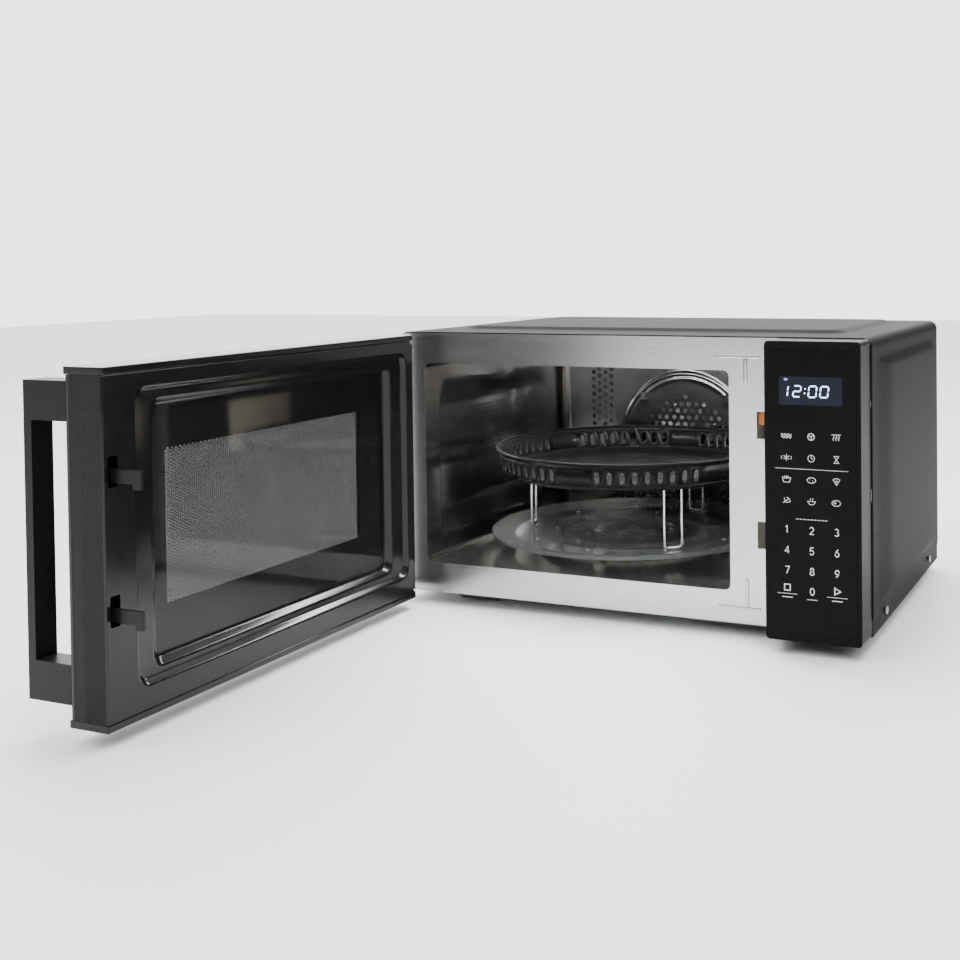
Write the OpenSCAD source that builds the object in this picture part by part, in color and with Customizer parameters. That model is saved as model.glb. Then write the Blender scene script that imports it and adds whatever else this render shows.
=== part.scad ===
// Countertop convection and grill microwave oven, shown with its door open.
// +X is the oven's right, +Y its back, +Z up. The origin is on the worktop, in the middle of the cabinet.

/* [Cabinet] */
// Width of the cabinet at its front edge
case_w = 515; // [480:1:640]
// Height of the cabinet above its feet
case_h = 279; // [272:1:340]
// Depth from the front plate to the back panel
case_d = 335; // [330:1:410]
// Height of the feet
foot_h = 11; // [9:0.5:16]
// Radius of the cabinet's long top edges
case_r = 9; // [4:0.5:14]
// Thickness of the steel sheet
sheet_t = 1; // [0.8:0.1:1.2]
// Height of the pressed panels on the top and the sides
press_h = 3; // [1:0.5:4]
// Depth of the rear cover over the convection unit
rear_d = 62; // [58:1:80]

/* [Cavity] */
// Width of the oven cavity
cavity_w = 345; // [338:1:352]
// Height of the oven cavity
cavity_h = 214; // [205:1:216]
// Depth of the oven cavity
cavity_d = 324; // [318:1:328]
// From the cabinet's left side to the cavity
cavity_margin = 30; // [26:1:34]
// From the cabinet's underside to the cavity floor
cavity_sill = 32; // [31:1:36]
// Depth of the pressing in the cavity's left wall
wall_press = 8; // [4:1:12]
// Diameter of the round pressing over the convection fan
fan_ring_d = 164; // [150:1:176]

/* [Turntable] */
// Diameter of the glass tray
tray_d = 322; // [290:1:328]
// Thickness of the glass
tray_t = 4.5; // [4:0.5:6]
// Height of the tray's rim above its underside
tray_rim_h = 9; // [7:0.5:12]
// Diameter of the rollers
roller_d = 11; // [9:0.5:14]
// Diameter of the circle on which the rollers run
track_d = 190; // [160:1:210]
// Diameter of the turntable motor's shaft
spindle_d = 7; // [6:0.5:9]

/* [Rack and pan] */
// Height of the wire rack
rack_h = 67; // [50:1:70]
// Diameter of the rack's outer ring
rack_d = 236; // [200:1:244]
// Thickness of the rack's ring wire
wire_d = 4; // [3:0.5:5]
// Thickness of the rack's leg wire
leg_wire_d = 3.4; // [2.4:0.1:3.6]
// Diameter of the crisper pan at its rim
pan_d = 312; // [270:1:314]
// Depth of the crisper pan
pan_h = 30; // [22:1:36]
// Thickness of the pan's steel
pan_t = 1.2; // [1:0.1:1.6]

/* [Door] */
// Angle at which the door stands open
door_open = 90; // [80:1:95]
// How far the door opens beyond that
door_extra = 9; // [0:1:12]
// Thickness of the door
door_t = 37; // [33:1:40]
// Distance from the door's hinged end to the hinge axis
hinge_in = 8; // [7:0.5:10]
// Distance from the door's front to the hinge axis
hinge_back = 10; // [9:0.5:12]
// Diameter of the hinge pins
hinge_pin_d = 6; // [5:0.5:8]
// Radial running clearance of pins and shafts
run_gap = 0.05; // [0.02:0.01:0.08]
// Gap between the closed door and the front plate
door_gap = 1; // [0.8:0.1:2]
// Height of the handle
handle_h = 248; // [200:1:256]
// Width of the handle's bar
handle_w = 20; // [16:1:26]
// Thickness of the handle's bar
handle_bar_t = 8; // [6:0.5:12]
// Distance from the door to the outside of the handle
handle_reach = 44; // [36:1:52]
// Height of the lower hook above the cabinet's underside
hook_low = 91; // [80:1:100]
// Height of the upper hook above the cabinet's underside
hook_high = 197; // [180:1:210]
// Travel of the hooks when they release
hook_travel = 4; // [3:0.5:5]
// Length of the hooks
hook_len = 28; // [24:1:32]

/* [Control panel] */
// Width of the control panel
panel_w = 92; // [84:1:104]
// Depth of the control panel in front of the plate
panel_d = 38; // [34:1:42]
// Wall thickness of the panel's housing
panel_wall = 2.2; // [1.6:0.1:3]

/* [Electronics] */
// Diameter of the cooling fan
cool_fan_d = 96; // [80:1:100]
// Diameter of the convection fan
conv_fan_d = 120; // [100:1:128]
// Diameter of the fan shafts
fan_shaft_d = 6; // [5:0.5:8]

/* [Hidden] */
$fn = 48;

fit = 0.3;            // clearance between neighbouring pieces
cut = 1;              // how far a cutter runs past a face
t = sheet_t;

// Cabinet planes
x_left = -case_w / 2;
x_right = case_w / 2;
y_front = -case_d / 2;
y_back = case_d / 2;
z_low = foot_h;
z_top = foot_h + case_h;
well_h = 7;           // depth of the base plate's well under the electronics

// Cavity planes, on the inner faces of its walls
cav_l = x_left + cavity_margin;
cav_r = cav_l + cavity_w;
cav_f = y_front + t;
cav_b = y_front + cavity_d;
cav_lo = z_low + cavity_sill;
cav_hi = cav_lo + cavity_h;
spin_x = (cav_l + cav_r) / 2;
spin_y = y_front + cavity_d / 2;

// Front of the oven
panel_l = x_right - panel_w;
door_side_gap = 1.5;
door_l = x_left;
door_r = panel_l - door_side_gap;
door_back = y_front - door_gap;
door_face = door_back - door_t;
door_lo = z_low + 1;
door_hi = z_top - 1.5;
cap_h = 6;            // height of the door's end caps
cap_lip = 2.5;        // how far the caps stand in front of the glass
hinge_x = door_l + hinge_in;
hinge_y = door_face + hinge_back;
leaf_t = 2.5;         // thickness of a hinge leaf
leaf_w = 10;          // width of a hinge leaf
pin_len = 16;         // length of a hinge pin in the door
leaf_hi = door_hi - cap_h - leaf_t - fit;
leaf_lo = door_lo + cap_h + fit;
glass_t = 3.2;
frame_wall = 3;       // wall of the door's frame
seal_h = 2;           // thickness of the door's inner cover
mesh_depth = 12;      // depth of the window behind the door's inner face
tub_wall = 2.5;       // wall of the inner cover's recess

// The recess in the closed door's inner face, around the cavity's mouth
recess_l = cav_l - 6;
recess_r = cav_r + 14;
recess_lo = cav_lo - 5;
recess_hi = cav_hi + 12;

// The window in the recess
win_l = cav_l + 22;
win_r = cav_r - 13;
win_lo = cav_lo + 11;
win_hi = cav_hi - 5;
hook_x = door_r - 9;
hook_t = 2.5;
hook_tall = 15;
slot_in = 9.5;        // how far the plate's hook slots reach inwards from the hooks
slot_w = 15.5;        // width of those slots
slot_h = 26;          // height of those slots
rib_w = 3.4;          // width of the ribs pressed in the front plate
rib_h = 0.6;          // height of those ribs

// Fastenings, latches and handle
screw_d = 3.2;        // diameter of the case screws
screw_z = z_low + 12;
screw_y = case_d / 3;
foot_pin_d = 4;       // diameter of the pin that holds a foot in the base plate
latch_y = y_front + t + fit;
lever_z = z_low + hook_high + 24;
lever_pin_d = 3;      // bore of the interlock lever's pin
handle_x = door_r - handle_w / 2;
handle_lo = z_low + (case_h - handle_h) / 2 + 3;
handle_end = 31;      // height of the blocks that carry the handle's bar

// Turntable heights
tray_lo = cav_lo + roller_d + 2 * fit;
tray_top = tray_lo + tray_t;
rack_top = tray_top + fit + rack_h;
pan_lo = rack_top + fit;
lug_h = 5;            // height of the tray's lugs and of the coupler's arms
lug_r = 4;
lug_ring = 20;
roller_w = 7;         // width of a roller

// Convection unit, around the axis of the fan
conv_z = cav_lo + 93;
conv_y = cav_b + t;
conv_depth = 36;
conv_r = 94;

// Electronics bay
bay_l = cav_r + t;
bay_r = x_right - t;
bay_x = (bay_l + bay_r) / 2;
mag_z = z_low + 150;
shroud_y = y_back - 46;

steel = [0.72, 0.73, 0.74];
black = [0.08, 0.08, 0.09];
dark = [0.2, 0.2, 0.21];
copper = [0.72, 0.42, 0.2];
board_green = [0.1, 0.35, 0.2];

// A box given by its lowest and highest corners
module span(lo, hi) {
  translate(lo) cube(hi - lo);
}

// A rounded rectangle on the XY plane, w by h, with corners of radius r
module rounded(w, h, r) {
  square([w - 2 * r, h], center = true);
  square([w, h - 2 * r], center = true);
  for (sx = [-1, 1], sy = [-1, 1])
    translate([sx * (w / 2 - r), sy * (h / 2 - r)]) circle(r = r, $fn = 32);
}

// An upright plate: rounded rectangle w by h in the XZ plane, from y = 0 to y = d
module upright(w, h, r, d) {
  translate([0, d, 0]) rotate([90, 0, 0]) linear_extrude(d) rounded(w, h, r);
}

// A pressed panel a by b on z = 0, h high, with sloping sides
module pressed(a, b, h, slope) {
  intersection() {
    translate([0, b / 2, 0]) rotate([90, 0, 0]) linear_extrude(b)
      polygon([[-a / 2, 0], [a / 2, 0], [a / 2 - slope, h], [-a / 2 + slope, h]]);
    translate([-a / 2, 0, 0]) rotate([90, 0, 90]) linear_extrude(a)
      polygon([[-b / 2, 0], [b / 2, 0], [b / 2 - slope, h], [-b / 2 + slope, h]]);
  }
}

// A cylinder along +Y from the origin
module along_y(d, len) {
  rotate([-90, 0, 0]) cylinder(d = d, h = len);
}

// A cylinder along +X from the origin
module along_x(d, len) {
  rotate([0, 90, 0]) cylinder(d = d, h = len);
}

// Turns door pieces, which are drawn closed, to the open position
module opened() {
  translate([hinge_x, hinge_y, 0]) rotate([0, 0, -door_open]) translate([-hinge_x, -hinge_y, 0])
    children();
}

// ---- Cabinet ----

// The cabinet's outline from the front: w wide, h high, round at the top corners
module arch(w, h, r) {
  translate([-w / 2, 0]) square([w, h - r]);
  translate([-w / 2 + r, 0]) square([w - 2 * r, h]);
  for (s = [-1, 1]) translate([s * (w / 2 - r), h - r]) circle(r = r);
}

// The pressings of the outer case, one on the top and one on each side, moved inwards by depth
module case_pressings(depth) {
  slope = 12;
  translate([0, 0, z_top - depth]) pressed(case_w - 70, case_d - 60, press_h, slope);
  for (s = [-1, 1]) translate([s * (case_w / 2 - depth), 6, z_low + case_h / 2 + 4])
    rotate([0, s * 90, 0]) pressed(case_h - 74, case_d - 58, press_h, slope);
}

module outer_case() {
  color(black) difference() {
    union() {
      translate([0, y_back, z_low]) rotate([90, 0, 0]) linear_extrude(case_d - fit)
        difference() {
          arch(case_w, case_h, case_r);
          translate([0, -cut]) arch(case_w - 2 * t, case_h - t + cut, case_r - t);
        }
      case_pressings(0);
    }
    case_pressings(t + 0.01);
    side_screw_holes();
  }
}

// Clearance holes for the screws along the bottom of the case's sides
module side_screw_holes() {
  for (s = [-1, 1], y = [-1, 1])
    translate([s * (case_w / 2 + cut), y * screw_y, screw_z]) rotate([0, -s * 90, 0])
      cylinder(d = screw_d + 0.2, h = 3 * t + cut);
}

// Rows of vent slots in the XZ plane, each w by h, n side by side and m high
module vents(n, m, w, h, px, pz, depth) {
  for (i = [0 : n - 1], j = [0 : m - 1])
    translate([(i - (n - 1) / 2) * px, -depth / 2, (j - (m - 1) / 2) * pz])
      translate([-w / 2, 0, -h / 2]) cube([w, depth, h]);
}

module back_panel() {
  color(dark) difference() {
    translate([0, y_back - t - fit, z_low + case_h / 2])
      upright(case_w - 2 * t - fit, case_h - 2 * t - 2 * fit, case_r, t);
    translate([spin_x, y_back - 2 * t, conv_z]) upright(212, 206, 10, 4 * t);
    translate([bay_x + 4, y_back - t, z_low + 120]) vents(10, 5, 4, 20, 8, 26, 6 * t);
    translate([x_left + 22, y_back - t, z_low + 150]) vents(2, 5, 5, 24, 10, 32, 6 * t);
    translate([bay_x, y_back - 2 * t, z_low + 26]) along_y(16, 4 * t);
  }
}

module rear_cover() {
  w = 236;
  h = 226;
  color(dark) difference() {
    union() {
      translate([spin_x, y_back, conv_z]) upright(w, h, 12, rear_d);
      translate([spin_x, y_back, conv_z]) upright(w + 22, h + 10, 6, t);
    }
    translate([spin_x, y_back - cut, conv_z]) upright(w - 2 * t, h - 2 * t, 11, rear_d + cut - t);
    translate([spin_x, y_back + rear_d, conv_z]) vents(17, 5, 5, 26, 11, 34, 6 * t);
  }
}

// The base plate's outline, with a lower well under the electronics bay and the control panel
module base_plate() {
  w = case_w - 2 * t - 2 * fit;
  d = case_d - 2 * t - 3 * fit;
  well_w = x_right - cav_r + 44;
  well_x = x_right - well_w / 2 - 8;
  color(steel) difference() {
    union() {
      translate([-w / 2, -d / 2, z_low]) cube([w, d, t]);
      translate([well_x, 0, z_low]) rotate([180, 0, 0]) pressed(well_w, d - 4, well_h, 16);
      for (s = [-1, 1]) translate([s * (w / 2 - t / 2) - t / 2, -d / 2 + 8, z_low]) cube([t, d - 12, 20]);
    }
    side_screw_holes();
    translate([well_x, 0, z_low + t + 0.01]) rotate([180, 0, 0])
      pressed(well_w - 1.2 * t, d - 4 - 1.2 * t, well_h, 16);
    for (i = [-4 : 4], j = [0, 1])
      translate([well_x + i * 10 - 2.5, 20 + j * 42, z_low - well_h - cut]) cube([5, 34, 4 * t]);
    for (i = [-6 : 6], j = [0, 1])
      translate([spin_x + i * 12 - 3, 90 + j * 30, z_low - cut]) cube([6, 22, 3 * t]);
    for (p = foot_places()) translate([p[0], p[1], z_low - p[2] - cut]) cylinder(d = foot_pin_d, h = 3 * t);
  }
}

// Each foot's place, and how far down its seat on the base plate lies
function foot_places() = [
  [x_left + 78, y_front + 36, 0], [x_left + 78, y_back - 40, 0],
  [x_right - 62, y_front + 36, well_h], [x_right - 62, y_back - 40, well_h]
];

module feet() {
  color(dark) for (p = foot_places()) {
    tall = foot_h - p[2];
    translate([p[0], p[1], tall]) difference() {
      union() {
        rotate([180, 0, 0]) pressed(62, 34, tall, min(9, 2 * tall));
        cylinder(d = foot_pin_d - 0.1, h = t);
      }
      translate([0, 0, -tall - cut]) cylinder(d = 8, h = tall / 2 + cut);
    }
  }
}

module front_plate() {
  w = case_w - 2 * t - 2 * fit;
  h = case_h - 2 * t;
  rib_x = cav_r + 9;
  color(steel) difference() {
    union() {
      translate([0, y_front, z_low + case_h / 2]) upright(w, h, case_r, t);
      for (z = [cav_hi + 13.5, cav_lo - 16])
        translate([rib_x, y_front - rib_h, z]) upright(44, rib_w, 1.6, 1);
      for (z = [cav_hi, cav_lo])
        translate([rib_x + 8, y_front - rib_h, z]) upright(rib_w, 26, 1.6, 1);
    }
    translate([spin_x, y_front - cut, (cav_lo + cav_hi) / 2]) upright(cavity_w, cavity_h, 6, t + 2 * cut);
    for (z = [hook_low, hook_high])
      span([hook_x - slot_in, y_front - 2, z_low + z - slot_h / 2 - 3],
           [hook_x - slot_in + slot_w, y_front + t + cut, z_low + z + slot_h / 2 - 3]);
    for (z = [leaf_hi, leaf_lo])
      span([hinge_x - leaf_w / 2 - 0.5, y_front - cut, z - fit],
           [hinge_x + leaf_w / 2 + 0.5, y_front + t + cut, z + leaf_t + fit]);
    span([panel_l + 20, y_front - cut, z_low + 120], [x_right - 20, y_front + t + cut, z_low + 180]);
  }
}

// A round-headed screw with its head at the origin and its shank along -Z
module screw(head_d, shank_d, len) {
  difference() {
    union() {
      intersection() {
        cylinder(d = head_d, h = 2.2);
        translate([0, 0, 2.2 - head_d]) sphere(d = 2 * head_d);
      }
      translate([0, 0, -len]) cylinder(d = shank_d, h = len + 0.5);
    }
    for (a = [0, 90]) rotate([0, 0, a]) translate([-head_d / 4, -0.5, 1.1]) cube([head_d / 2, 1, 3]);
  }
}

module case_screws() {
  color(steel) {
    for (s = [-1, 1], y = [-1, 1])
      translate([s * case_w / 2, y * screw_y, screw_z]) rotate([0, s * 90, 0]) screw(8, screw_d, 3 * t);
    for (s = [-1, 1], z = [-1, 1])
      translate([spin_x + s * 123, y_back + t, conv_z + z * 100]) rotate([-90, 0, 0]) screw(7, 3, 0);
  }
}

// ---- Cavity ----

module cavity_floor() {
  color(steel) difference() {
    span([cav_l - t, cav_f, cav_lo - t], [cav_r + t, cav_b, cav_lo]);
    translate([spin_x, spin_y, cav_lo - t - cut]) cylinder(d = spindle_d + 3, h = t + 2 * cut);
  }
}

module cavity_ceiling() {
  color(steel) difference() {
    span([cav_l - t, cav_f, cav_hi], [cav_r + t, cav_b, cav_hi + t]);
    for (i = [-8 : 8], j = [-2 : 2])
      translate([spin_x + i * 13 - 4, spin_y - 30 + j * 12 - 3, cav_hi - cut]) cube([8, 6, t + 2 * cut]);
  }
}

module cavity_left_wall() {
  mid_z = (cav_lo + cav_hi) / 2;
  a = cavity_h - 50;
  b = cavity_d - 70;
  color(steel) difference() {
    union() {
      span([cav_l - t, cav_f, cav_lo], [cav_l, cav_b, cav_hi]);
      translate([cav_l - t, spin_y, mid_z]) rotate([0, -90, 0]) pressed(a, b, wall_press, 14);
    }
    translate([cav_l + 0.01, spin_y, mid_z]) rotate([0, -90, 0]) pressed(a - 1.5, b - 1.5, wall_press, 14);
  }
}

module cavity_right_wall() {
  color(steel) difference() {
    span([cav_r, cav_f, cav_lo], [cav_r + t, cav_b, cav_hi]);
    span([cav_r - cut, spin_y - 45, mag_z - 18], [cav_r + t + cut, spin_y + 45, mag_z + 18]);
  }
}

module cavity_back_wall() {
  color(steel) difference() {
    union() {
      span([cav_l - t, cav_b, cav_lo - t], [cav_r + t, cav_b + t, cav_hi + t]);
      translate([spin_x, cav_b - 1.6, conv_z]) rotate([-90, 0, 0]) rotate_extrude($fn = 96)
        translate([fan_ring_d / 2 - 4, 0]) square([4, 1.7]);
    }
    for (ring = [1 : 4]) for (i = [0 : 6 * ring - 1])
      translate([spin_x, cav_b - cut, conv_z]) rotate([0, i * 60 / ring, 0]) translate([ring * 12, 0, 0])
        along_y(6.5, t + 2 * cut);
    translate([spin_x, cav_b - cut, conv_z]) along_y(fan_shaft_d + 4, t + 2 * cut);
  }
}

module waveguide_cover() {
  color([0.78, 0.74, 0.64])
    span([cav_r - 1 - 0.1, spin_y - 58, mag_z - 32], [cav_r - 0.1, spin_y + 58, mag_z + 32]);
}

module grill_reflector() {
  lo = [spin_x - 135, spin_y - 75, cav_hi + t];
  hi = [spin_x + 135, spin_y + 15, cav_hi + t + 20];
  color(steel) difference() {
    span(lo, hi);
    span([lo[0] + t, lo[1] + t, lo[2] - cut], [hi[0] - t, hi[1] - t, hi[2] - t]);
    for (y = [-45, -15]) translate([hi[0] - 2 * t, spin_y + y, cav_hi + t + 10]) along_x(8, 4 * t);
  }
}

module grill_heater() {
  z = cav_hi + t + 10;
  color([0.5, 0.48, 0.46]) {
    for (y = [-45, -15]) translate([spin_x - 105, spin_y + y, z]) along_x(7, 255);
    translate([spin_x - 105, spin_y - 30, z]) rotate([0, 0, 90]) rotate_extrude(angle = 180)
      translate([15, 0]) circle(d = 7);
  }
}

// The lamp lies along +X: a round-ended bulb, its neck and its holder
module cavity_lamp() {
  bulb_r = 7;
  color([0.9, 0.88, 0.8]) translate([bay_l + 1, spin_y - 95, cav_hi - 30]) {
    rotate([0, 90, 0]) rotate_extrude()
      polygon(concat([for (a = [0 : 15 : 135]) [bulb_r * sin(a), bulb_r * (1 - cos(a))]],
                     [[4.5, 16], [4.5, 24], [0, 24]]));
    translate([24, -9, -9]) cube([3, 18, 18]);
    translate([27, 0, 0]) along_x(15, 10);
  }
}

module thermal_cutouts() {
  color(dark) {
    for (y = [-50, 70]) translate([cav_r - 12, spin_y + y, cav_hi + t]) {
      cylinder(d = 15, h = 4);
      cylinder(d = 10, h = 9);
    }
  }
}

// ---- Convection unit ----

module convection_housing() {
  color(steel) translate([spin_x, conv_y, conv_z]) difference() {
    union() {
      along_y(2 * conv_r, conv_depth);
      along_y(2 * conv_r + 14, t);
    }
    translate([0, -cut, 0]) along_y(2 * (conv_r - t), conv_depth - t + cut);
    along_y(fan_shaft_d + 3, conv_depth + cut);
    for (s = [-1, 1]) translate([s * 12, 0, -74]) along_y(9, conv_depth + cut);
  }
}

module convection_heater() {
  r = 74;
  color([0.35, 0.33, 0.32]) translate([spin_x, conv_y + 14, conv_z]) {
    rotate([-90, 0, 0]) rotate_extrude($fn = 96) translate([r, 0]) circle(d = 7, $fn = 24);
    for (s = [-1, 1]) translate([s * 12, 0, -r]) along_y(6.4, conv_depth);
  }
}

module convection_motor() {
  y = conv_y + conv_depth + 3;
  color(dark) translate([spin_x, y, conv_z]) difference() {
    union() {
      along_y(58, 16);
      translate([-40, 0, -7]) cube([80, 1.5, 14]);
      for (s = [-1, 1]) translate([s * 34, -3, 0]) along_y(6, 3);
    }
    translate([0, -cut, 0]) along_y(fan_shaft_d + 2 * run_gap, 20);
  }
}

// A radial fan around +Y: n blades from hub to rim
module fan_wheel(n, d, hub, depth, disc_t) {
  along_y(hub, depth + disc_t);
  translate([0, depth, 0]) along_y(d * 0.92, disc_t);
  for (i = [0 : n - 1]) rotate([0, i * 360 / n, 0]) translate([hub / 2 - 1, 0, -0.6])
    cube([d / 2 - hub / 2 + 1, depth + disc_t / 2, 1.2]);
}

module convection_fan() {
  color([0.6, 0.6, 0.62]) translate([spin_x, conv_y + 6, conv_z]) {
    fan_wheel(12, conv_fan_d, 20, 16, 1.2);
    translate([0, 10, 0]) along_y(fan_shaft_d, conv_depth + 14);
    translate([0, conv_depth + 16, 0]) fan_wheel(8, 54, 14, 5, 0.8);
  }
}

// ---- Turntable ----

module turntable_motor() {
  hub = cav_lo - t - 2;
  color(dark) difference() {
    union() {
      translate([spin_x, spin_y, hub - 15]) cylinder(d = 50, h = 15);
      translate([spin_x - 32, spin_y - 7, hub - 1.5]) cube([64, 14, 1.5]);
    }
    translate([spin_x, spin_y, hub - 12]) cylinder(d = spindle_d + 2 * run_gap, h = 20);
  }
}

// The coupler's lugs and the tray's lugs alternate around the spindle
module turntable_coupler() {
  low = cav_lo + 1;
  color([0.85, 0.84, 0.8]) translate([spin_x, spin_y, 0]) {
    translate([0, 0, low]) cylinder(d = 18, h = tray_lo - low - fit);
    for (i = [0 : 2]) rotate([0, 0, i * 120])
      translate([0, -3.5, low + 2]) cube([lug_ring + lug_r, 7, tray_lo - low - 2 - fit]);
    translate([0, 0, cav_lo - t - 12]) cylinder(d = spindle_d, h = 16);
  }
}

module roller_ring() {
  z = cav_lo + fit + roller_d / 2;
  color([0.75, 0.74, 0.72]) translate([spin_x, spin_y, 0]) {
    translate([0, 0, z - 2]) rotate_extrude($fn = 96) translate([track_d / 2 - 22, 0]) square([9, 4]);
    for (a = [270, 30, 150]) rotate([0, 0, a]) {
      translate([track_d / 2 - 14, -4, z - 2]) cube([14 - roller_w / 2 - fit, 8, 4]);
      translate([track_d / 2 - 6, 0, z]) along_x(3, roller_w + 5);
      translate([track_d / 2 + roller_w / 2 + fit, 0, z]) along_x(5, 2);
    }
  }
}

module roller(a) {
  color([0.9, 0.9, 0.88]) translate([spin_x, spin_y, cav_lo + fit + roller_d / 2]) rotate([0, 0, a])
    translate([track_d / 2 - roller_w / 2, 0, 0]) difference() {
      along_x(roller_d, roller_w);
      translate([-cut, 0, 0]) along_x(3 + 2 * run_gap, roller_w + 2 * cut);
    }
}
module roller_front() { roller(270); }
module roller_right() { roller(30); }
module roller_left() { roller(150); }

module glass_tray() {
  r = tray_d / 2;
  color([0.8, 0.88, 0.9, 0.5]) translate([spin_x, spin_y, 0]) {
    translate([0, 0, tray_lo]) rotate_extrude($fn = 120)
      polygon([[0, 0], [r - 20, 0], [r - 5, tray_rim_h - tray_t], [r, tray_rim_h - tray_t + 1],
               [r, tray_rim_h], [r - 6, tray_rim_h], [r - 21, tray_t], [0, tray_t]]);
    for (i = [0 : 2]) rotate([0, 0, 60 + i * 120]) translate([lug_ring, 0, tray_lo - lug_h])
      cylinder(r = lug_r, h = lug_h + 1);
  }
}

// ---- Rack and pan ----

// A leg bent from one wire: two uprights and a foot, with round corners
module rack_leg() {
  gap = 20;
  bend = 5;
  foot_z = leg_wire_d / 2;
  translate([sqrt(pow(rack_d / 2, 2) - pow(gap / 2, 2)), 0, 0]) {
    for (s = [-1, 1]) {
      translate([0, s * gap / 2, foot_z + bend])
        cylinder(d = leg_wire_d, h = rack_h - wire_d / 2 - foot_z - bend);
      translate([0, s * (gap / 2 - bend), foot_z + bend]) rotate([0, 90, 0])
        rotate_extrude(angle = s * 90) translate([bend, 0]) circle(d = leg_wire_d);
    }
    translate([0, -gap / 2 + bend, foot_z]) along_y(leg_wire_d, gap - 2 * bend);
  }
}

module wire_rack() {
  r = rack_d / 2;
  z = rack_h - wire_d / 2;
  color([0.85, 0.86, 0.88]) translate([spin_x, spin_y, tray_top + fit]) {
    for (ring = [r, r - 36, r - 76]) translate([0, 0, z]) rotate_extrude($fn = 96)
      translate([ring, 0]) circle(d = wire_d);
    for (a = [74, 194, 314]) rotate([0, 0, a]) {
      rack_leg();
      translate([r - 84, 0, z - wire_d * 0.6]) along_x(leg_wire_d, 84);
    }
  }
}

module crisper_pan() {
  r = pan_d / 2;
  b = r - 9;
  color(black) translate([spin_x, spin_y, pan_lo]) rotate_extrude($fn = 120)
    polygon([[0, 0], [b, 0], [r - 2.5, pan_h - pan_t], [r, pan_h - pan_t], [r, pan_h],
             [r - 3.4, pan_h], [b - 0.9, pan_t], [0, pan_t]]);
}

// ---- Electronics ----

module magnetron() {
  x = bay_l + 33;
  color([0.6, 0.61, 0.63]) translate([x, spin_y, mag_z]) {
    for (z = [-34, 32]) translate([0, -40, z]) cube([78, 80, 2]);
    for (y = [-40, 38]) translate([0, y, -34]) cube([78, 2, 68]);
    for (i = [0 : 8]) translate([10 + i * 7, -38, -30]) cube([1, 76, 60]);
    along_x(34, 74);
    translate([-20, 0, 0]) along_x(14, 20);
    translate([-1.5, -30, -30]) cube([2, 60, 60]);
  }
}

module waveguide() {
  x = bay_l;
  color(steel) difference() {
    span([x, spin_y - 52, mag_z - 36], [x + 31, spin_y + 52, mag_z + 36]);
    span([x - cut, spin_y - 52 + t, mag_z - 36 + t], [x + 31 - t, spin_y + 52 - t, mag_z + 36 - t]);
    translate([x + 20, spin_y, mag_z]) along_x(24, 20);
  }
}

module transformer() {
  x = bay_x - 38;
  y = y_front + 60;
  z = z_low - well_h + t + 0.2;
  color(dark) {
    for (s = [0, 58]) translate([x, y + s, z]) cube([76, 22, 68]);
    for (s = [0, 48]) translate([x, y + 22, z + s]) cube([76, 36, 20]);
  }
  color(copper) for (s = [-9, 76]) translate([x + s, y + 23, z + 21]) cube([9, 34, 26]);
}

module hv_capacitor() {
  color(steel) translate([bay_x - 10, y_back - 100, z_low - well_h + t + 0.2]) {
    linear_extrude(40) rounded(52, 32, 14);
    for (s = [-1, 1]) translate([s * 12, 0, 40]) cylinder(d = 7, h = 6);
  }
}

module hv_diode() {
  color(black) translate([bay_x + 40, y_back - 100, z_low - well_h + t + 2]) {
    translate([0, -12, 2]) along_y(6, 24);
    translate([-4, 16, -1]) cube([8, 6, 8]);
    translate([-1, -20, 1]) cube([2, 40, 2]);
  }
}

module fan_shroud() {
  z = z_low + 118;
  color(dark) translate([bay_x, shroud_y, z]) difference() {
    upright(cool_fan_d + 24, cool_fan_d + 24, 5, 18);
    translate([0, -cut, 0]) along_y(cool_fan_d + 5, 18 + 2 * cut);
  }
}

module cooling_fan_motor() {
  z = z_low + 118;
  color(steel) translate([bay_x, shroud_y, z]) difference() {
    union() {
      translate([-24, 21, -24]) cube([48, 14, 48]);
      for (s = [-1, 1]) translate([s * (cool_fan_d / 2 + 7), 18, 0]) along_y(6, 5);
      translate([-cool_fan_d / 2 - 10, 20, -5]) cube([cool_fan_d + 20, 2, 10]);
    }
    translate([0, 10, 0]) along_y(fan_shaft_d + 2 * run_gap, 22);
  }
}

module cooling_fan() {
  z = z_low + 118;
  color([0.3, 0.3, 0.32]) translate([bay_x, shroud_y, z]) {
    translate([0, 3, 0]) along_y(26, 13);
    for (i = [0 : 6]) rotate([0, i * 360 / 7, 0]) translate([11, 9, 0])
      rotate([35, 0, 0]) translate([0, -1, -10]) cube([cool_fan_d / 2 - 12, 1.6, 20]);
    translate([0, 10, 0]) along_y(fan_shaft_d, 20);
  }
}

module noise_filter() {
  color(board_green) translate([bay_x - 40, y_back - 40, z_top - 34]) {
    cube([80, 32, 1.6]);
    translate([8, 6, 1.6]) cube([18, 20, 14]);
    translate([34, 6, 1.6]) cylinder(d = 10, h = 12);
    translate([48, 8, 1.6]) cube([24, 14, 16]);
  }
}

module cord_gland() {
  color(black) translate([bay_x, y_back, z_low + 26]) difference() {
    union() {
      translate([0, -t - 4, 0]) along_y(15.4, t + 6);
      translate([0, 0.1, 0]) along_y(22, 4);
      translate([0, -t - fit - 3, 0]) along_y(20, 2.4);
    }
    translate([0, -12, 0]) along_y(8, 24);
  }
}

// ---- Control panel ----

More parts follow.
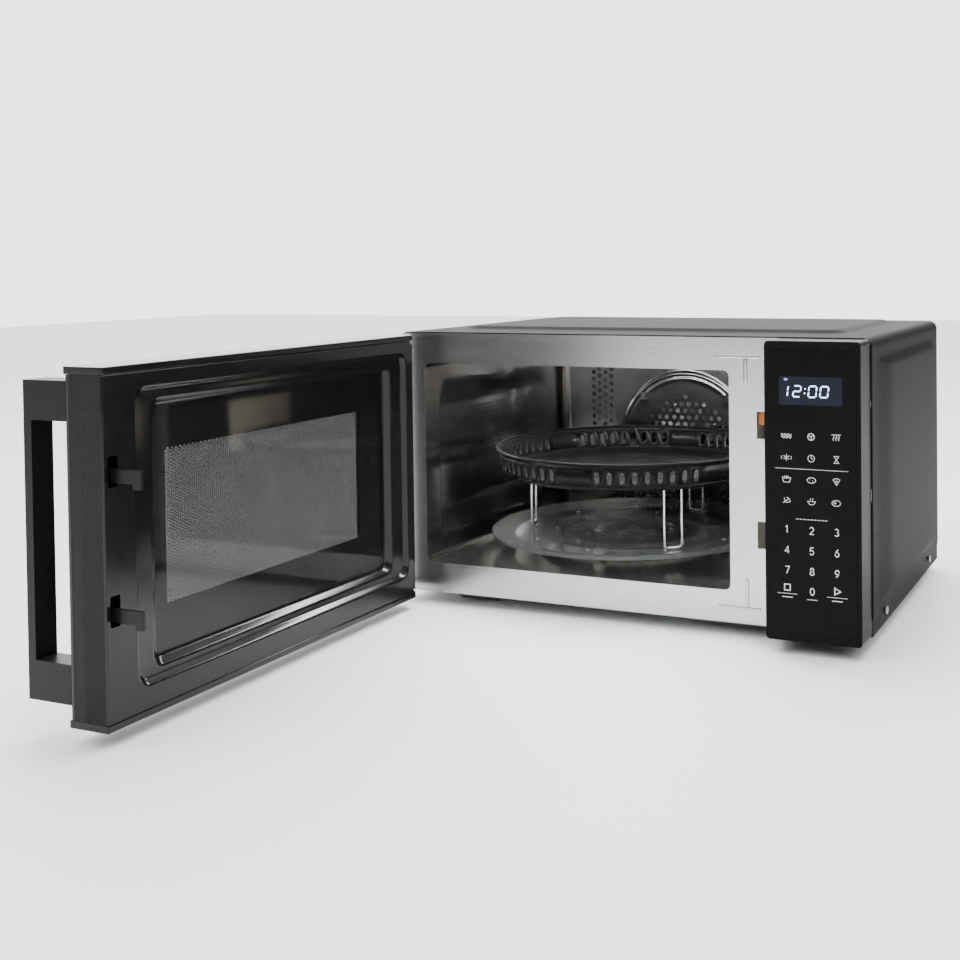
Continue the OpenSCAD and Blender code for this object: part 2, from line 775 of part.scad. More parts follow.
module control_housing() {
  w = panel_w - 1;
  cx = panel_l + w / 2;
  h = case_h - 2;
  cz = z_low + case_h / 2;
  color(black) difference() {
    translate([cx, y_front - panel_d, cz]) upright(w, h, 4, panel_d);
    translate([cx, y_front - panel_d + panel_wall, cz])
      upright(w - 2 * panel_wall, h - 2 * panel_wall, 3, panel_d);
    translate([cx, y_front - panel_d - cut, z_low + 233]) upright(62, 28, 2, panel_wall + 2 * cut);
    translate([cx, y_front - panel_d - cut, cz]) upright(w - 8, h - 16, 2, 1 + cut);
    translate([cx, y_front - panel_d - cut, z_low + 60]) upright(30, 5, 2, panel_wall + 2 * cut);
  }
}

module control_fascia() {
  w = panel_w - 1;
  color([0.03, 0.03, 0.035]) translate([panel_l + w / 2, y_front - panel_d - 0.4, z_low + case_h / 2])
    upright(w - 8 - fit, case_h - 18 - fit, 2, 1.3);
}

module display_module() {
  w = panel_w - 1;
  color([0.1, 0.12, 0.2]) translate([panel_l + w / 2, y_front - panel_d + 1.4, z_low + 233]) {
    upright(60, 26, 1, 6);
    for (s = [-1, 1]) translate([s * 24, 6, 0]) along_y(3, 5.6);
  }
}

module control_board() {
  w = panel_w - 1;
  y = y_front - panel_d + 13.2;
  color(board_green) translate([panel_l + w / 2, y, z_low + 150]) {
    upright(74, 200, 2, 1.6);
    translate([-28, 1.6, -70]) cube([26, 17, 20]);
    for (i = [0 : 2]) translate([-28 + i * 20, 1.6, -30]) cube([15, 13, 19]);
    translate([6, 1.6, 10]) cube([22, 2.4, 22]);
    for (i = [0 : 3]) translate([-24 + i * 14, 1.6, -88]) along_y(9, 14);
  }
}

// ---- Latches ----

module latch_housing() {
  deep = hook_len + 6;
  color([0.82, 0.8, 0.74]) difference() {
    span([hook_x - slot_in - 2.5, latch_y, z_low + hook_low - 26],
         [hook_x + 13, latch_y + deep, z_low + hook_high + 34]);
    for (z = [hook_low, hook_high])
      span([hook_x - slot_in, latch_y - cut, z_low + z - 19],
           [hook_x + 9, latch_y + deep - 3, z_low + z + 12 + hook_travel]);
    span([hook_x - slot_in - 3, latch_y + 4, z_low + hook_low + 24],
         [hook_x + 14, latch_y + deep + cut, z_low + hook_high - 24]);
    span([hook_x - slot_in, latch_y - cut, z_low + hook_high + 15],
         [hook_x + 8, latch_y + deep - 4, z_low + hook_high + 29]);
    translate([hook_x - slot_in - 3, latch_y + 14, lever_z]) along_x(lever_pin_d, 28);
  }
}

module interlock_switches() {
  color([0.75, 0.2, 0.15]) for (z = [hook_low - 6, hook_low + 11, hook_high - 4])
    translate([hook_x - 5, latch_y + hook_len + 6 + fit, z_low + z]) {
      cube([16, 20, 10]);
      for (i = [0, 1]) translate([4 + i * 7, 20, 4]) cube([0.8, 7, 3]);
    }
}

module interlock_lever() {
  color([0.8, 0.42, 0.2]) translate([hook_x, latch_y + 14, lever_z]) {
    translate([-slot_in - 2, 0, 0]) along_x(lever_pin_d - 2 * run_gap, 24.5);
    translate([-2.5, 0, 0]) along_x(8, 10);
    translate([1 - slot_in, -12, -4]) cube([16, 12, 3]);
    translate([1 - slot_in, -12, -27]) cube([5.5, 2.5, 24]);
  }
}

// ---- Door ----

// One hinge: a leaf through the front plate, a pin in the door, and a flange behind the plate
module hinge(z, up) {
  pin_z = up > 0 ? z + leaf_t : z - pin_len;
  color([0.8, 0.8, 0.82]) {
    span([hinge_x - leaf_w / 2, hinge_y, z], [hinge_x + leaf_w / 2, y_front + t + 0.2 + 2, z + leaf_t]);
    translate([hinge_x, hinge_y, z]) cylinder(d = leaf_w, h = leaf_t);
    translate([hinge_x, hinge_y, pin_z]) cylinder(d = hinge_pin_d, h = pin_len);
    span([hinge_x - leaf_w / 2, y_front + t + 0.1, min(z, z + up * 30)],
         [hinge_x + leaf_w / 2, y_front + t + 2.1, max(z, z + up * 30) + leaf_t]);
  }
}
module upper_hinge() { hinge(leaf_hi, -1); }
module lower_hinge() { hinge(leaf_lo, 1); }

// The space that the hinge leaves sweep inside the door's corner
module leaf_room() {
  for (z = [leaf_hi, leaf_lo])
    span([door_l - cut, hinge_y - leaf_w / 2 - hinge_in * sin(door_extra) - fit, z - fit],
         [hinge_x + leaf_w / 2 + fit, door_back + cut, z + leaf_t + fit]);
}

// The door's inner corner is cut back so that it clears the plate as it swings
module corner_relief() {
  translate([door_l, door_back, 0]) rotate([0, 0, 45]) translate([-7.2, -7.2, 0]) cube([14.4, 14.4, 400]);
}

module door_frame() {
  f0 = door_face + glass_t + fit;
  f1 = door_back - seal_h - 0.1;
  lo = door_lo + cap_h;
  hi = door_hi - cap_h;
  color(black) opened() difference() {
    span([door_l, f0, lo], [door_r, f1, hi]);
    span([recess_l - tub_wall - 0.5, f0 - cut, recess_lo - tub_wall - 0.5],
         [recess_r + tub_wall + 0.5, f1 + cut, recess_hi + tub_wall + 0.5]);
    span([recess_r + tub_wall + frame_wall, f0 + frame_wall, lo + 14],
         [door_r - frame_wall, f1 + cut, hi - 14]);
    for (z = [hook_low, hook_high])
      span([hook_x - 5, f0 + frame_wall, z_low + z - 20], [hook_x + 4, f1 + cut, z_low + z + 20]);
    leaf_room();
    corner_relief();
    translate([hinge_x, hinge_y, leaf_hi - pin_len - cut]) cylinder(d = hinge_pin_d + 2 * run_gap, h = 20);
    translate([hinge_x, hinge_y, leaf_lo])
      cylinder(d = hinge_pin_d + 2 * run_gap, h = pin_len + leaf_t + cut);
    for (z = handle_ends()) translate([handle_x, f0 - cut, z]) along_y(4, 14);
  }
}

module door_glass() {
  color([0.03, 0.03, 0.035]) opened() difference() {
    span([door_l, door_face, door_lo + cap_h], [door_r, door_face + glass_t, door_hi - cap_h]);
    for (z = handle_ends()) translate([handle_x, door_face - cut, z]) along_y(5, glass_t + 2 * cut);
  }
}

// A moulded strip along the door's top or bottom edge, with a lip in front of the glass
module door_cap(lo) {
  color(black) opened() difference() {
    union() {
      span([door_l, door_face, lo], [door_r, door_back, lo + cap_h - 0.1]);
      span([door_l, door_face - cap_lip, lo], [door_r, door_face + 0.1, lo + cap_h - 0.1]);
    }
    corner_relief();
  }
}
module door_top_cap() { door_cap(door_hi - cap_h + 0.1); }
module door_bottom_cap() { door_cap(door_lo); }

// The choke sheet closes the window in the door and seals it against microwaves
module door_choke_sheet() {
  y = door_back - mesh_depth - t;
  lap = 6;
  color(dark) opened() difference() {
    union() {
      span([recess_l - tub_wall, y, recess_lo - tub_wall],
           [recess_r + tub_wall, y + t, recess_hi + tub_wall]);
      span([win_l - lap, y - 2, win_lo - lap], [win_r + lap, y + 0.1, win_hi + lap]);
    }
    span([win_l - lap + t, y - 2 + t, win_lo - lap + t], [win_r + lap - t, y + t + cut, win_hi + lap - t]);
  }
}

module door_inner_cover() {
  y = door_back;
  color(black) opened() difference() {
    union() {
      span([door_l, y - seal_h, door_lo + cap_h], [door_r, y, door_hi - cap_h]);
      span([recess_l - tub_wall, y - mesh_depth + 0.2, recess_lo - tub_wall],
           [recess_r + tub_wall, y - seal_h, recess_hi + tub_wall]);
    }
    span([recess_l, y - 5, recess_lo], [recess_r, y + cut, recess_hi]);
    span([win_l, y - mesh_depth - cut, win_lo], [win_r, y + cut, win_hi]);
    for (z = [hook_low, hook_high])
      span([hook_x - 4, y - seal_h - cut, z_low + z - 12], [hook_x + 3.2, y + cut, z_low + z + 16]);
    leaf_room();
    corner_relief();
  }
}

module door_window_film() {
  y = door_back - mesh_depth + 0.2;
  color([0.5, 0.52, 0.55, 0.4]) opened()
    span([win_l + 0.2, y, win_lo + 0.2], [win_r - 0.2, y + 0.8, win_hi - 0.2]);
}

function handle_ends() = [handle_lo + handle_end / 2, handle_lo + handle_h - handle_end / 2];
module door_handle() {
  y0 = door_face - handle_reach;
  color(black) opened() difference() {
    span([handle_x - handle_w / 2, y0, handle_lo],
         [handle_x + handle_w / 2, door_face - 0.1, handle_lo + handle_h]);
    span([handle_x - handle_w / 2 - cut, y0 + handle_bar_t, handle_lo + handle_end],
         [handle_x + handle_w / 2 + cut, door_face + cut, handle_lo + handle_h - handle_end]);
    for (z = handle_ends()) translate([handle_x, door_face - 14, z]) along_y(4, 20);
  }
}

module handle_screws() {
  color(steel) opened() for (z = handle_ends())
    translate([handle_x, door_face + glass_t + fit + frame_wall + 0.1, z]) rotate([-90, 0, 0])
      screw(7, 3.9, 20);
}

// The hooks hang on one sliding plate inside the door's free edge
module latch_hooks() {
  y = door_back - 8;
  color(black) opened() {
    span([hook_x - hook_t / 2, y - 8, z_low + hook_low - 4],
         [hook_x + hook_t / 2, y, z_low + hook_high + 6]);
    for (z = [hook_low, hook_high]) {
      span([hook_x - hook_t / 2, y - 4, z_low + z - hook_tall / 2],
           [hook_x + hook_t / 2, door_back + hook_len, z_low + z + hook_tall / 2 - 4]);
      span([hook_x - hook_t / 2, door_back + hook_len - 8, z_low + z - hook_tall / 2 - 4],
           [hook_x + hook_t / 2, door_back + hook_len, z_low + z]);
    }
  }
}

module latch_spring() {
  color(steel) opened() translate([hook_x, door_back - 19, z_low + (hook_low + hook_high) / 2 - 16])
    difference() {
      cylinder(d = 5, h = 30);
      translate([0, 0, -cut]) cylinder(d = 3, h = 30 + 2 * cut);
    }
}

outer_case();
back_panel();
rear_cover();
base_plate();
feet();
front_plate();
case_screws();
cavity_floor();
cavity_ceiling();
cavity_left_wall();
cavity_right_wall();
cavity_back_wall();
waveguide_cover();
grill_reflector();
grill_heater();
cavity_lamp();
thermal_cutouts();
convection_housing();
convection_heater();
convection_motor();
convection_fan();
turntable_motor();
turntable_coupler();
roller_ring();
roller_front();
roller_right();
roller_left();
glass_tray();
wire_rack();
crisper_pan();
magnetron();
waveguide();
transformer();
hv_capacitor();
hv_diode();
fan_shroud();
cooling_fan_motor();
cooling_fan();
noise_filter();
cord_gland();
control_housing();
control_fascia();
display_module();
control_board();
latch_housing();
interlock_switches();
interlock_lever();
upper_hinge();
lower_hinge();
door_frame();
door_glass();
door_top_cap();
door_bottom_cap();
door_choke_sheet();
door_inner_cover();
door_window_film();
door_handle();
handle_screws();
latch_hooks();
latch_spring();
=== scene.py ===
import bpy
import math
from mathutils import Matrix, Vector
from mathutils.geometry import tessellate_polygon


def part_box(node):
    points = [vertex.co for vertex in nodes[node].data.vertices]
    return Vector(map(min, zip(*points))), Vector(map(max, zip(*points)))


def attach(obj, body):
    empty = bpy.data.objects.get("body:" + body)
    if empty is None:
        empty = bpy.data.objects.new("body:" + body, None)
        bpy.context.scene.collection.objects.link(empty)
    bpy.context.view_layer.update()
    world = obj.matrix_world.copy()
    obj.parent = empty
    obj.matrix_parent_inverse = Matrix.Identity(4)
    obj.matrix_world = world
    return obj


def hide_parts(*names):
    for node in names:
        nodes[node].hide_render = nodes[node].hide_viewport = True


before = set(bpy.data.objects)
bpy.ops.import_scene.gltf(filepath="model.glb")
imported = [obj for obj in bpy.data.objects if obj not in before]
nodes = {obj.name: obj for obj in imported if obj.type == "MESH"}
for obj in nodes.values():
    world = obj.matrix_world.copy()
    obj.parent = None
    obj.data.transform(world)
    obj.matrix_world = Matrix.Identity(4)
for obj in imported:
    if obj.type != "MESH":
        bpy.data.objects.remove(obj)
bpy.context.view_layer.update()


MM = 0.001


def mm(node):
    """The lowest and highest corner of a CAD node, in millimetres."""
    lo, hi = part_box(node)
    return [c * 1000 for c in lo], [c * 1000 for c in hi]


# ---------------------------------------------------------------- places taken from the CAD
plate_lo, plate_hi = mm("front_plate")
ceil_lo, ceil_hi = mm("cavity_ceiling")
floor_lo, floor_hi = mm("cavity_floor")
tray_lo, tray_hi = mm("glass_tray")
pan_lo, pan_hi = mm("crisper_pan")
fas_lo = mm("control_fascia")[0]
dis_lo, dis_hi = mm("display_module")
hinge_lo, hinge_hi = mm("upper_hinge")
glass_lo = mm("door_glass")[0]
cover_lo, cover_hi = mm("door_inner_cover")

SHEET = 1.0           # thickness of the steel sheet
PLATE_INSET = 1.3     # from the cabinet's sides to the front plate
RIB_H = 0.6           # height of the front plate's pressed ribs, which stand in front of its face
FAN_ABOVE_FLOOR = 93.0
x_l, x_r = plate_lo[0] - PLATE_INSET, plate_hi[0] + PLATE_INSET
z_low, z_top = plate_lo[2] - SHEET, plate_hi[2] + SHEET
y_f = plate_lo[1] + RIB_H
y_b = mm("outer_case")[1][1]
cav_l, cav_r = ceil_lo[0] + SHEET, ceil_hi[0] - SHEET
cav_f, cav_b = floor_lo[1], mm("cavity_back_wall")[1][1] - SHEET
cav_lo, cav_hi = floor_hi[2], ceil_lo[2]
spin_x = (tray_lo[0] + tray_hi[0]) / 2
spin_y = (tray_lo[1] + tray_hi[1]) / 2
fan_z = cav_lo + FAN_ABOVE_FLOOR
hinge_x = (hinge_lo[0] + hinge_hi[0]) / 2
hinge_y = hinge_lo[1] + (hinge_hi[0] - hinge_lo[0]) / 2
door_r = hinge_x - (cover_lo[1] - hinge_y)
door_back = hinge_y + (cover_hi[0] - hinge_x)
door_lo, door_hi = cover_lo[2], cover_hi[2]


def swing(x, y, z):
    """A point of the closed door, turned to the open position."""
    return (hinge_x + (y - hinge_y), hinge_y - (x - hinge_x), z)


# ---------------------------------------------------------------- materials
def node_of(tree, kind, **values):
    n = tree.nodes.new(kind)
    for key, value in values.items():
        if key in n.inputs:
            n.inputs[key].default_value = value
        else:
            setattr(n, key, value)
    return n


def finish_of(name, base, rough, metal=0.0, tint=0.25, scale=40.0, stretch=(1, 1, 1), rough_by=0.08,
              bump=0.15, bump_scale=900.0, pebble=False, coat=0.0, see_through=0.0, ior=1.5, glow=None,
              second=None, second_scale=6.0, spec=0.5, smudge=0.35):
    """A procedural finish: colour, roughness and relief all vary with the place on the object."""
    m = bpy.data.materials.new(name)
    m.use_nodes = True
    t = m.node_tree
    shader = t.nodes["Principled BSDF"]
    link = t.links.new
    where = node_of(t, "ShaderNodeTexCoord")
    turn = node_of(t, "ShaderNodeMapping")
    turn.inputs["Scale"].default_value = stretch
    link(where.outputs["Object"], turn.inputs["Vector"])

    grain = node_of(t, "ShaderNodeTexNoise", Scale=scale, Detail=6.0, Roughness=0.6)
    link(turn.outputs["Vector"], grain.inputs["Vector"])
    broad = node_of(t, "ShaderNodeTexNoise", Scale=second_scale, Detail=3.0, Roughness=0.55)
    link(where.outputs["Object"], broad.inputs["Vector"])

    ramp = node_of(t, "ShaderNodeValToRGB")
    low = [c * (1 - tint) for c in base] + [1]
    high = [min(1.0, c * (1 + tint)) for c in base] + [1]
    ramp.color_ramp.elements[0].position = 0.3
    ramp.color_ramp.elements[0].color = low
    ramp.color_ramp.elements[1].position = 0.7
    ramp.color_ramp.elements[1].color = high
    link(grain.outputs["Fac"], ramp.inputs["Fac"])
    blend = node_of(t, "ShaderNodeMix", data_type="RGBA", blend_type="MIX")
    level = node_of(t, "ShaderNodeMapRange")
    level.inputs["From Min"].default_value = 0.45
    level.inputs["From Max"].default_value = 0.75
    level.inputs["To Max"].default_value = 0.55
    link(broad.outputs["Fac"], level.inputs["Value"])
    link(level.outputs["Result"], blend.inputs["Factor"])
    link(ramp.outputs["Color"], blend.inputs["A"])
    other = second if second else [c * 0.8 for c in base]
    blend.inputs["B"].default_value = list(other) + [1]
    link(blend.outputs["Result"], shader.inputs["Base Color"])

    spread = node_of(t, "ShaderNodeMapRange")
    spread.inputs["To Min"].default_value = max(0.02, rough - rough_by)
    spread.inputs["To Max"].default_value = min(1.0, rough + rough_by)
    mixed = node_of(t, "ShaderNodeMath", operation="MULTIPLY_ADD")
    link(broad.outputs["Fac"], mixed.inputs[0])
    mixed.inputs[1].default_value = smudge
    scaled = node_of(t, "ShaderNodeMath", operation="MULTIPLY")
    link(grain.outputs["Fac"], scaled.inputs[0])
    scaled.inputs[1].default_value = 1.0 - smudge
    link(scaled.outputs[0], mixed.inputs[2])
    link(mixed.outputs[0], spread.inputs["Value"])
    link(spread.outputs["Result"], shader.inputs["Roughness"])

    if pebble:
        fine = node_of(t, "ShaderNodeTexVoronoi", Scale=bump_scale)
        out = "Distance"
    else:
        fine = node_of(t, "ShaderNodeTexNoise", Scale=bump_scale, Detail=2.0)
        out = "Fac"
    link(turn.outputs["Vector"], fine.inputs["Vector"])
    relief = node_of(t, "ShaderNodeBump", Strength=bump, Distance=0.0004 if not pebble else 0.0008)
    link(fine.outputs[out], relief.inputs["Height"])
    link(relief.outputs["Normal"], shader.inputs["Normal"])

    shader.inputs["Metallic"].default_value = metal
    shader.inputs["IOR"].default_value = ior
    shader.inputs["Specular IOR Level"].default_value = spec
    shader.inputs["Coat Weight"].default_value = coat
    shader.inputs["Coat Roughness"].default_value = 0.05
    shader.inputs["Transmission Weight"].default_value = see_through
    if glow:
        shader.inputs["Emission Color"].default_value = list(glow[0]) + [1]
        shader.inputs["Emission Strength"].default_value = glow[1]
    return m


def cut_out(material, inside, low, high, socket, node="Principled BSDF"):
    """Gives a socket the value high inside a box of the row frame, and low outside it."""
    t = material.node_tree
    link = t.links.new
    where = node_of(t, "ShaderNodeTexCoord")
    part = node_of(t, "ShaderNodeSeparateXYZ")
    link(where.outputs["Object"], part.inputs["Vector"])
    result = None
    for axis, a, b in inside:
        for operation, edge in (("GREATER_THAN", a), ("LESS_THAN", b)):
            test = node_of(t, "ShaderNodeMath", operation=operation)
            link(part.outputs[axis], test.inputs[0])
            test.inputs[1].default_value = edge * MM
            if result is None:
                result = test
            else:
                both = node_of(t, "ShaderNodeMath", operation="MULTIPLY")
                link(result.outputs[0], both.inputs[0])
                link(test.outputs[0], both.inputs[1])
                result = both
    span = node_of(t, "ShaderNodeMapRange")
    span.inputs["To Min"].default_value = low
    span.inputs["To Max"].default_value = high
    link(result.outputs[0], span.inputs["Value"])
    link(span.outputs["Result"], t.nodes[node].inputs[socket])


M = {}
M["case"] = finish_of("case_black_powder_coat", (0.011, 0.011, 0.012), 0.4, bump=0.3, bump_scale=2600,
                      scale=300, second=(0.015, 0.015, 0.016), rough_by=0.06, ior=1.06)
M["plate"] = finish_of("front_brushed_steel", (0.62, 0.615, 0.6), 0.24, 1.0, tint=0.09, scale=70,
                       stretch=(0.25, 1, 34), bump=0.09, bump_scale=70, rough_by=0.05,
                       second=(0.62, 0.615, 0.605))
M["plate"].node_tree.nodes["Principled BSDF"].inputs["Anisotropic"].default_value = 0.6
M["cavity"] = finish_of("cavity_stainless_steel", (0.56, 0.55, 0.535), 0.17, 1.0, tint=0.05, scale=60,
                        stretch=(1, 1, 3), bump=0.05, bump_scale=300, rough_by=0.05,
                        second=(0.5, 0.49, 0.475))
M["cavity_back"] = finish_of("cavity_back_steel", (0.08, 0.0785, 0.077), 0.2, 1.0, tint=0.06, scale=60,
                             bump=0.05, bump_scale=300, rough_by=0.05, second=(0.065, 0.064, 0.063))
M["cavity_floor"] = finish_of("cavity_floor_steel", (0.52, 0.51, 0.495), 0.2, 1.0, tint=0.07, scale=55,
                              bump=0.06, bump_scale=260, rough_by=0.07, second=(0.44, 0.43, 0.415))
M["galvanised"] = finish_of("galvanised_sheet", (0.48, 0.49, 0.5), 0.42, 1.0, tint=0.18, scale=110,
                            bump=0.12, bump_scale=160, pebble=True, second=(0.4, 0.41, 0.43))
M["back"] = finish_of("rear_panel_coat", (0.035, 0.035, 0.038), 0.5, bump=0.3, bump_scale=1900, scale=240)
M["gloss"] = finish_of("door_gloss_black", (0.005, 0.005, 0.0055), 0.17, tint=0.3, bump=0.04,
                       bump_scale=500, rough_by=0.05, scale=80, second=(0.007, 0.007, 0.0075), spec=0.3)
M["satin"] = finish_of("handle_satin_black", (0.006, 0.006, 0.0065), 0.36, bump=0.16, bump_scale=2200,
                       rough_by=0.06, scale=200, spec=0.2)
M["pebble"] = finish_of("door_edge_textured_plastic", (0.011, 0.011, 0.012), 0.42, bump=1.0,
                        bump_scale=1100, pebble=True, rough_by=0.08, scale=500, spec=0.4, ior=1.25)
M["fascia"] = finish_of("control_fascia_glass", (0.004, 0.004, 0.0045), 0.12, bump=0.02, bump_scale=400,
                        rough_by=0.03, scale=60, spec=0.1, ior=1.35)
M["panel"] = finish_of("control_housing_plastic", (0.008, 0.008, 0.009), 0.3, bump=0.15, bump_scale=1800,
                       rough_by=0.05, scale=150, spec=0.3, ior=1.12)
M["outer_glass"] = finish_of("door_outer_tinted_glass", (0.005, 0.005, 0.0055), 0.05, bump=0.01,
                             bump_scale=90, rough_by=0.02, scale=30, spec=0.4)
M["film"] = finish_of("door_window_film", (0.01, 0.01, 0.011), 0.05, bump=0.015, bump_scale=60,
                      rough_by=0.02, scale=25, spec=1.0)
M["choke"] = finish_of("choke_screen_black", (0.007, 0.007, 0.0075), 0.4, bump=0.1, bump_scale=1500,
                       scale=300, spec=0.3, ior=1.2)
M["tray"] = finish_of("turntable_glass", (0.93, 0.97, 0.97), 0.07, tint=0.01, bump=0.5, bump_scale=420,
                      pebble=True, rough_by=0.05, see_through=0.93, ior=1.47, second=(0.9, 0.96, 0.95))
M["nub"] = finish_of("turntable_glass_nubs", (0.9, 0.95, 0.95), 0.06, tint=0.01, bump=0.05, bump_scale=300,
                     rough_by=0.03, see_through=0.8, ior=1.47, second=(0.85, 0.92, 0.92))
M["chrome"] = finish_of("rack_chrome", (0.74, 0.74, 0.73), 0.1, 1.0, tint=0.05, bump=0.04, bump_scale=700,
                        rough_by=0.04, scale=90)
M["pan"] = finish_of("pan_nonstick_coat", (0.006, 0.006, 0.0065), 0.34, tint=0.35, bump=0.3,
                     bump_scale=1500, rough_by=0.07, scale=700, spec=0.3, ior=1.3)
M["mica"] = finish_of("waveguide_mica", (0.62, 0.56, 0.43), 0.5, tint=0.22, scale=45, stretch=(1, 1, 1.6),
                      bump=0.2, bump_scale=300, second=(0.5, 0.45, 0.35))
M["heater"] = finish_of("heater_sheath", (0.17, 0.155, 0.145), 0.45, 0.9, tint=0.3, bump=0.2,
                        bump_scale=800, second=(0.24, 0.19, 0.15), second_scale=30)
M["cast"] = finish_of("motor_steel", (0.42, 0.43, 0.44), 0.38, 1.0, tint=0.15, bump=0.2, bump_scale=500)
M["dark_part"] = finish_of("dark_moulded_plastic", (0.03, 0.03, 0.032), 0.45, bump=0.25, bump_scale=1200)
M["cream"] = finish_of("latch_housing_plastic", (0.66, 0.64, 0.57), 0.42, tint=0.06, bump=0.12,
                       bump_scale=900)
M["orange"] = finish_of("interlock_lever_plastic", (0.5, 0.15, 0.035), 0.38, tint=0.12, bump=0.15,
                        bump_scale=900, second=(0.4, 0.11, 0.03))
M["red"] = finish_of("switch_plastic", (0.42, 0.05, 0.035), 0.4, tint=0.12, bump=0.12, bump_scale=900)
M["board"] = finish_of("circuit_board", (0.03, 0.16, 0.06), 0.32, tint=0.25, scale=220, bump=0.3,
                       bump_scale=500, second=(0.05, 0.22, 0.09), second_scale=70)
M["core"] = finish_of("laminated_core", (0.16, 0.16, 0.165), 0.45, 0.8, tint=0.25, scale=60,
                      stretch=(1, 40, 1), bump=0.4, bump_scale=50)
M["foot"] = finish_of("foot_plastic", (0.16, 0.16, 0.165), 0.5, tint=0.15, bump=0.25, bump_scale=1200)
M["bulb"] = finish_of("lamp_glass", (0.95, 0.9, 0.78), 0.12, tint=0.03, bump=0.03, bump_scale=300,
                      see_through=0.35, glow=((1.0, 0.72, 0.42), 2.0))
M["roller"] = finish_of("roller_plastic", (0.75, 0.74, 0.7), 0.38, tint=0.05, bump=0.1, bump_scale=900)
M["hinge"] = finish_of("hinge_plated_steel", (0.7, 0.69, 0.66), 0.2, 1.0, tint=0.08, bump=0.08,
                       bump_scale=600)
# the display window's faint navy emission is a painted glow: the window itself is unlit, and only its figures
# are lit
M["display"] = finish_of("display_window_painted_glow", (0.003, 0.004, 0.012), 0.12, bump=0.02, bump_scale=200,
                         rough_by=0.03, spec=0.2, glow=((0.02, 0.03, 0.12), 0.03))
M["digits"] = finish_of("display_digits", (0.6, 0.75, 1.0), 0.3, tint=0.05, scale=600,
                        glow=((0.45, 0.62, 1.0), 3.2))
M["violet"] = finish_of("display_symbol", (0.4, 0.3, 0.9), 0.3, tint=0.05, scale=600,
                        glow=((0.3, 0.2, 1.0), 2.2))
M["print"] = finish_of("panel_print", (0.78, 0.78, 0.78), 0.45, tint=0.06, scale=900, bump=0.05)

# which finish each CAD node wears
FINISH = {
    "outer_case": "case", "back_panel": "back", "rear_cover": "back", "base_plate": "galvanised",
    "feet": "foot", "front_plate": "plate", "case_screws": "cast", "cavity_floor": "cavity_floor",
    "cavity_ceiling": "cavity", "cavity_left_wall": "cavity", "cavity_right_wall": "cavity",
    "cavity_back_wall": "cavity", "waveguide_cover": "mica", "grill_reflector": "galvanised",
    "grill_heater": "heater", "cavity_lamp": "bulb", "thermal_cutouts": "dark_part",
    "convection_housing": "galvanised", "convection_heater": "heater", "convection_motor": "dark_part",
    "convection_fan": "cast", "turntable_motor": "cast", "turntable_coupler": "roller",
    "roller_ring": "roller", "roller_front": "roller", "roller_right": "roller", "roller_left": "roller",
    "glass_tray": "tray", "wire_rack": "chrome", "crisper_pan": "pan", "magnetron": "cast",
    "waveguide": "galvanised", "transformer": "core", "hv_capacitor": "cast", "hv_diode": "dark_part",
    "fan_shroud": "dark_part", "cooling_fan_motor": "cast", "cooling_fan": "dark_part",
    "noise_filter": "board", "cord_gland": "dark_part", "control_housing": "panel",
    "control_fascia": "fascia", "display_module": "display", "control_board": "board",
    "latch_housing": "cream", "interlock_switches": "red", "interlock_lever": "orange",
    "upper_hinge": "hinge", "lower_hinge": "hinge", "door_frame": "pebble", "door_glass": "outer_glass",
    "door_top_cap": "gloss", "door_bottom_cap": "gloss", "door_choke_sheet": "choke",
    "door_inner_cover": "gloss", "door_window_film": "film", "door_handle": "satin",
    "handle_screws": "cast", "latch_hooks": "satin", "latch_spring": "cast",
}


def door_span(a, b):
    """The row-frame Y range of a stretch a to b across the closed door, in millimetres."""
    return hinge_y - (b - hinge_x), hinge_y - (a - hinge_x)


# panes that are partly clear: the glass inside its printed border, and the whole film
cut_out(M["outer_glass"], [("Y", *door_span(cav_l + 30, cav_r - 20)), ("Z", cav_lo + 30, cav_hi - 20)],
        1.0, 0.6, "Alpha")
cut_out(M["film"], [("Z", 0, 400)], 1.0, 0.2, "Alpha")
# the door's free end: a glossy channel next to the glass, and textured plastic behind it
channel = [("X", glass_lo[0] + 5, glass_lo[0] + 14)]
cut_out(M["pebble"], channel, 0.42, 0.14, "Roughness")
cut_out(M["pebble"], channel, 1.0, 0.0, "Strength", "Bump")


def by_radius(material, near, far, low, high):
    """Relief on a disc inside near and a rim outside far, and almost none between them."""
    t = material.node_tree
    link = t.links.new
    where = node_of(t, "ShaderNodeTexCoord")
    shift = node_of(t, "ShaderNodeVectorMath", operation="SUBTRACT")
    link(where.outputs["Object"], shift.inputs[0])
    shift.inputs[1].default_value = (spin_x * MM, spin_y * MM, tray_lo[2] * MM)
    level = node_of(t, "ShaderNodeVectorMath", operation="MULTIPLY")
    link(shift.outputs[0], level.inputs[0])
    level.inputs[1].default_value = (1, 1, 0)
    away = node_of(t, "ShaderNodeVectorMath", operation="LENGTH")
    link(level.outputs[0], away.inputs[0])
    both = node_of(t, "ShaderNodeMath", operation="ADD")
    for i, (a, b) in enumerate(((near + 1, near - 1), (far - 2, far + 2))):
        part = node_of(t, "ShaderNodeMapRange")
        link(away.outputs["Value"], part.inputs["Value"])
        part.inputs["From Min"].default_value = a * MM
        part.inputs["From Max"].default_value = b * MM
        link(part.outputs["Result"], both.inputs[i])
    span = node_of(t, "ShaderNodeMapRange")
    span.inputs["To Min"].default_value = low
    span.inputs["To Max"].default_value = high
    link(both.outputs[0], span.inputs["Value"])
    link(span.outputs["Result"], t.nodes["Bump"].inputs["Strength"])


by_radius(M["tray"], 106, 136, 0.05, 0.9)

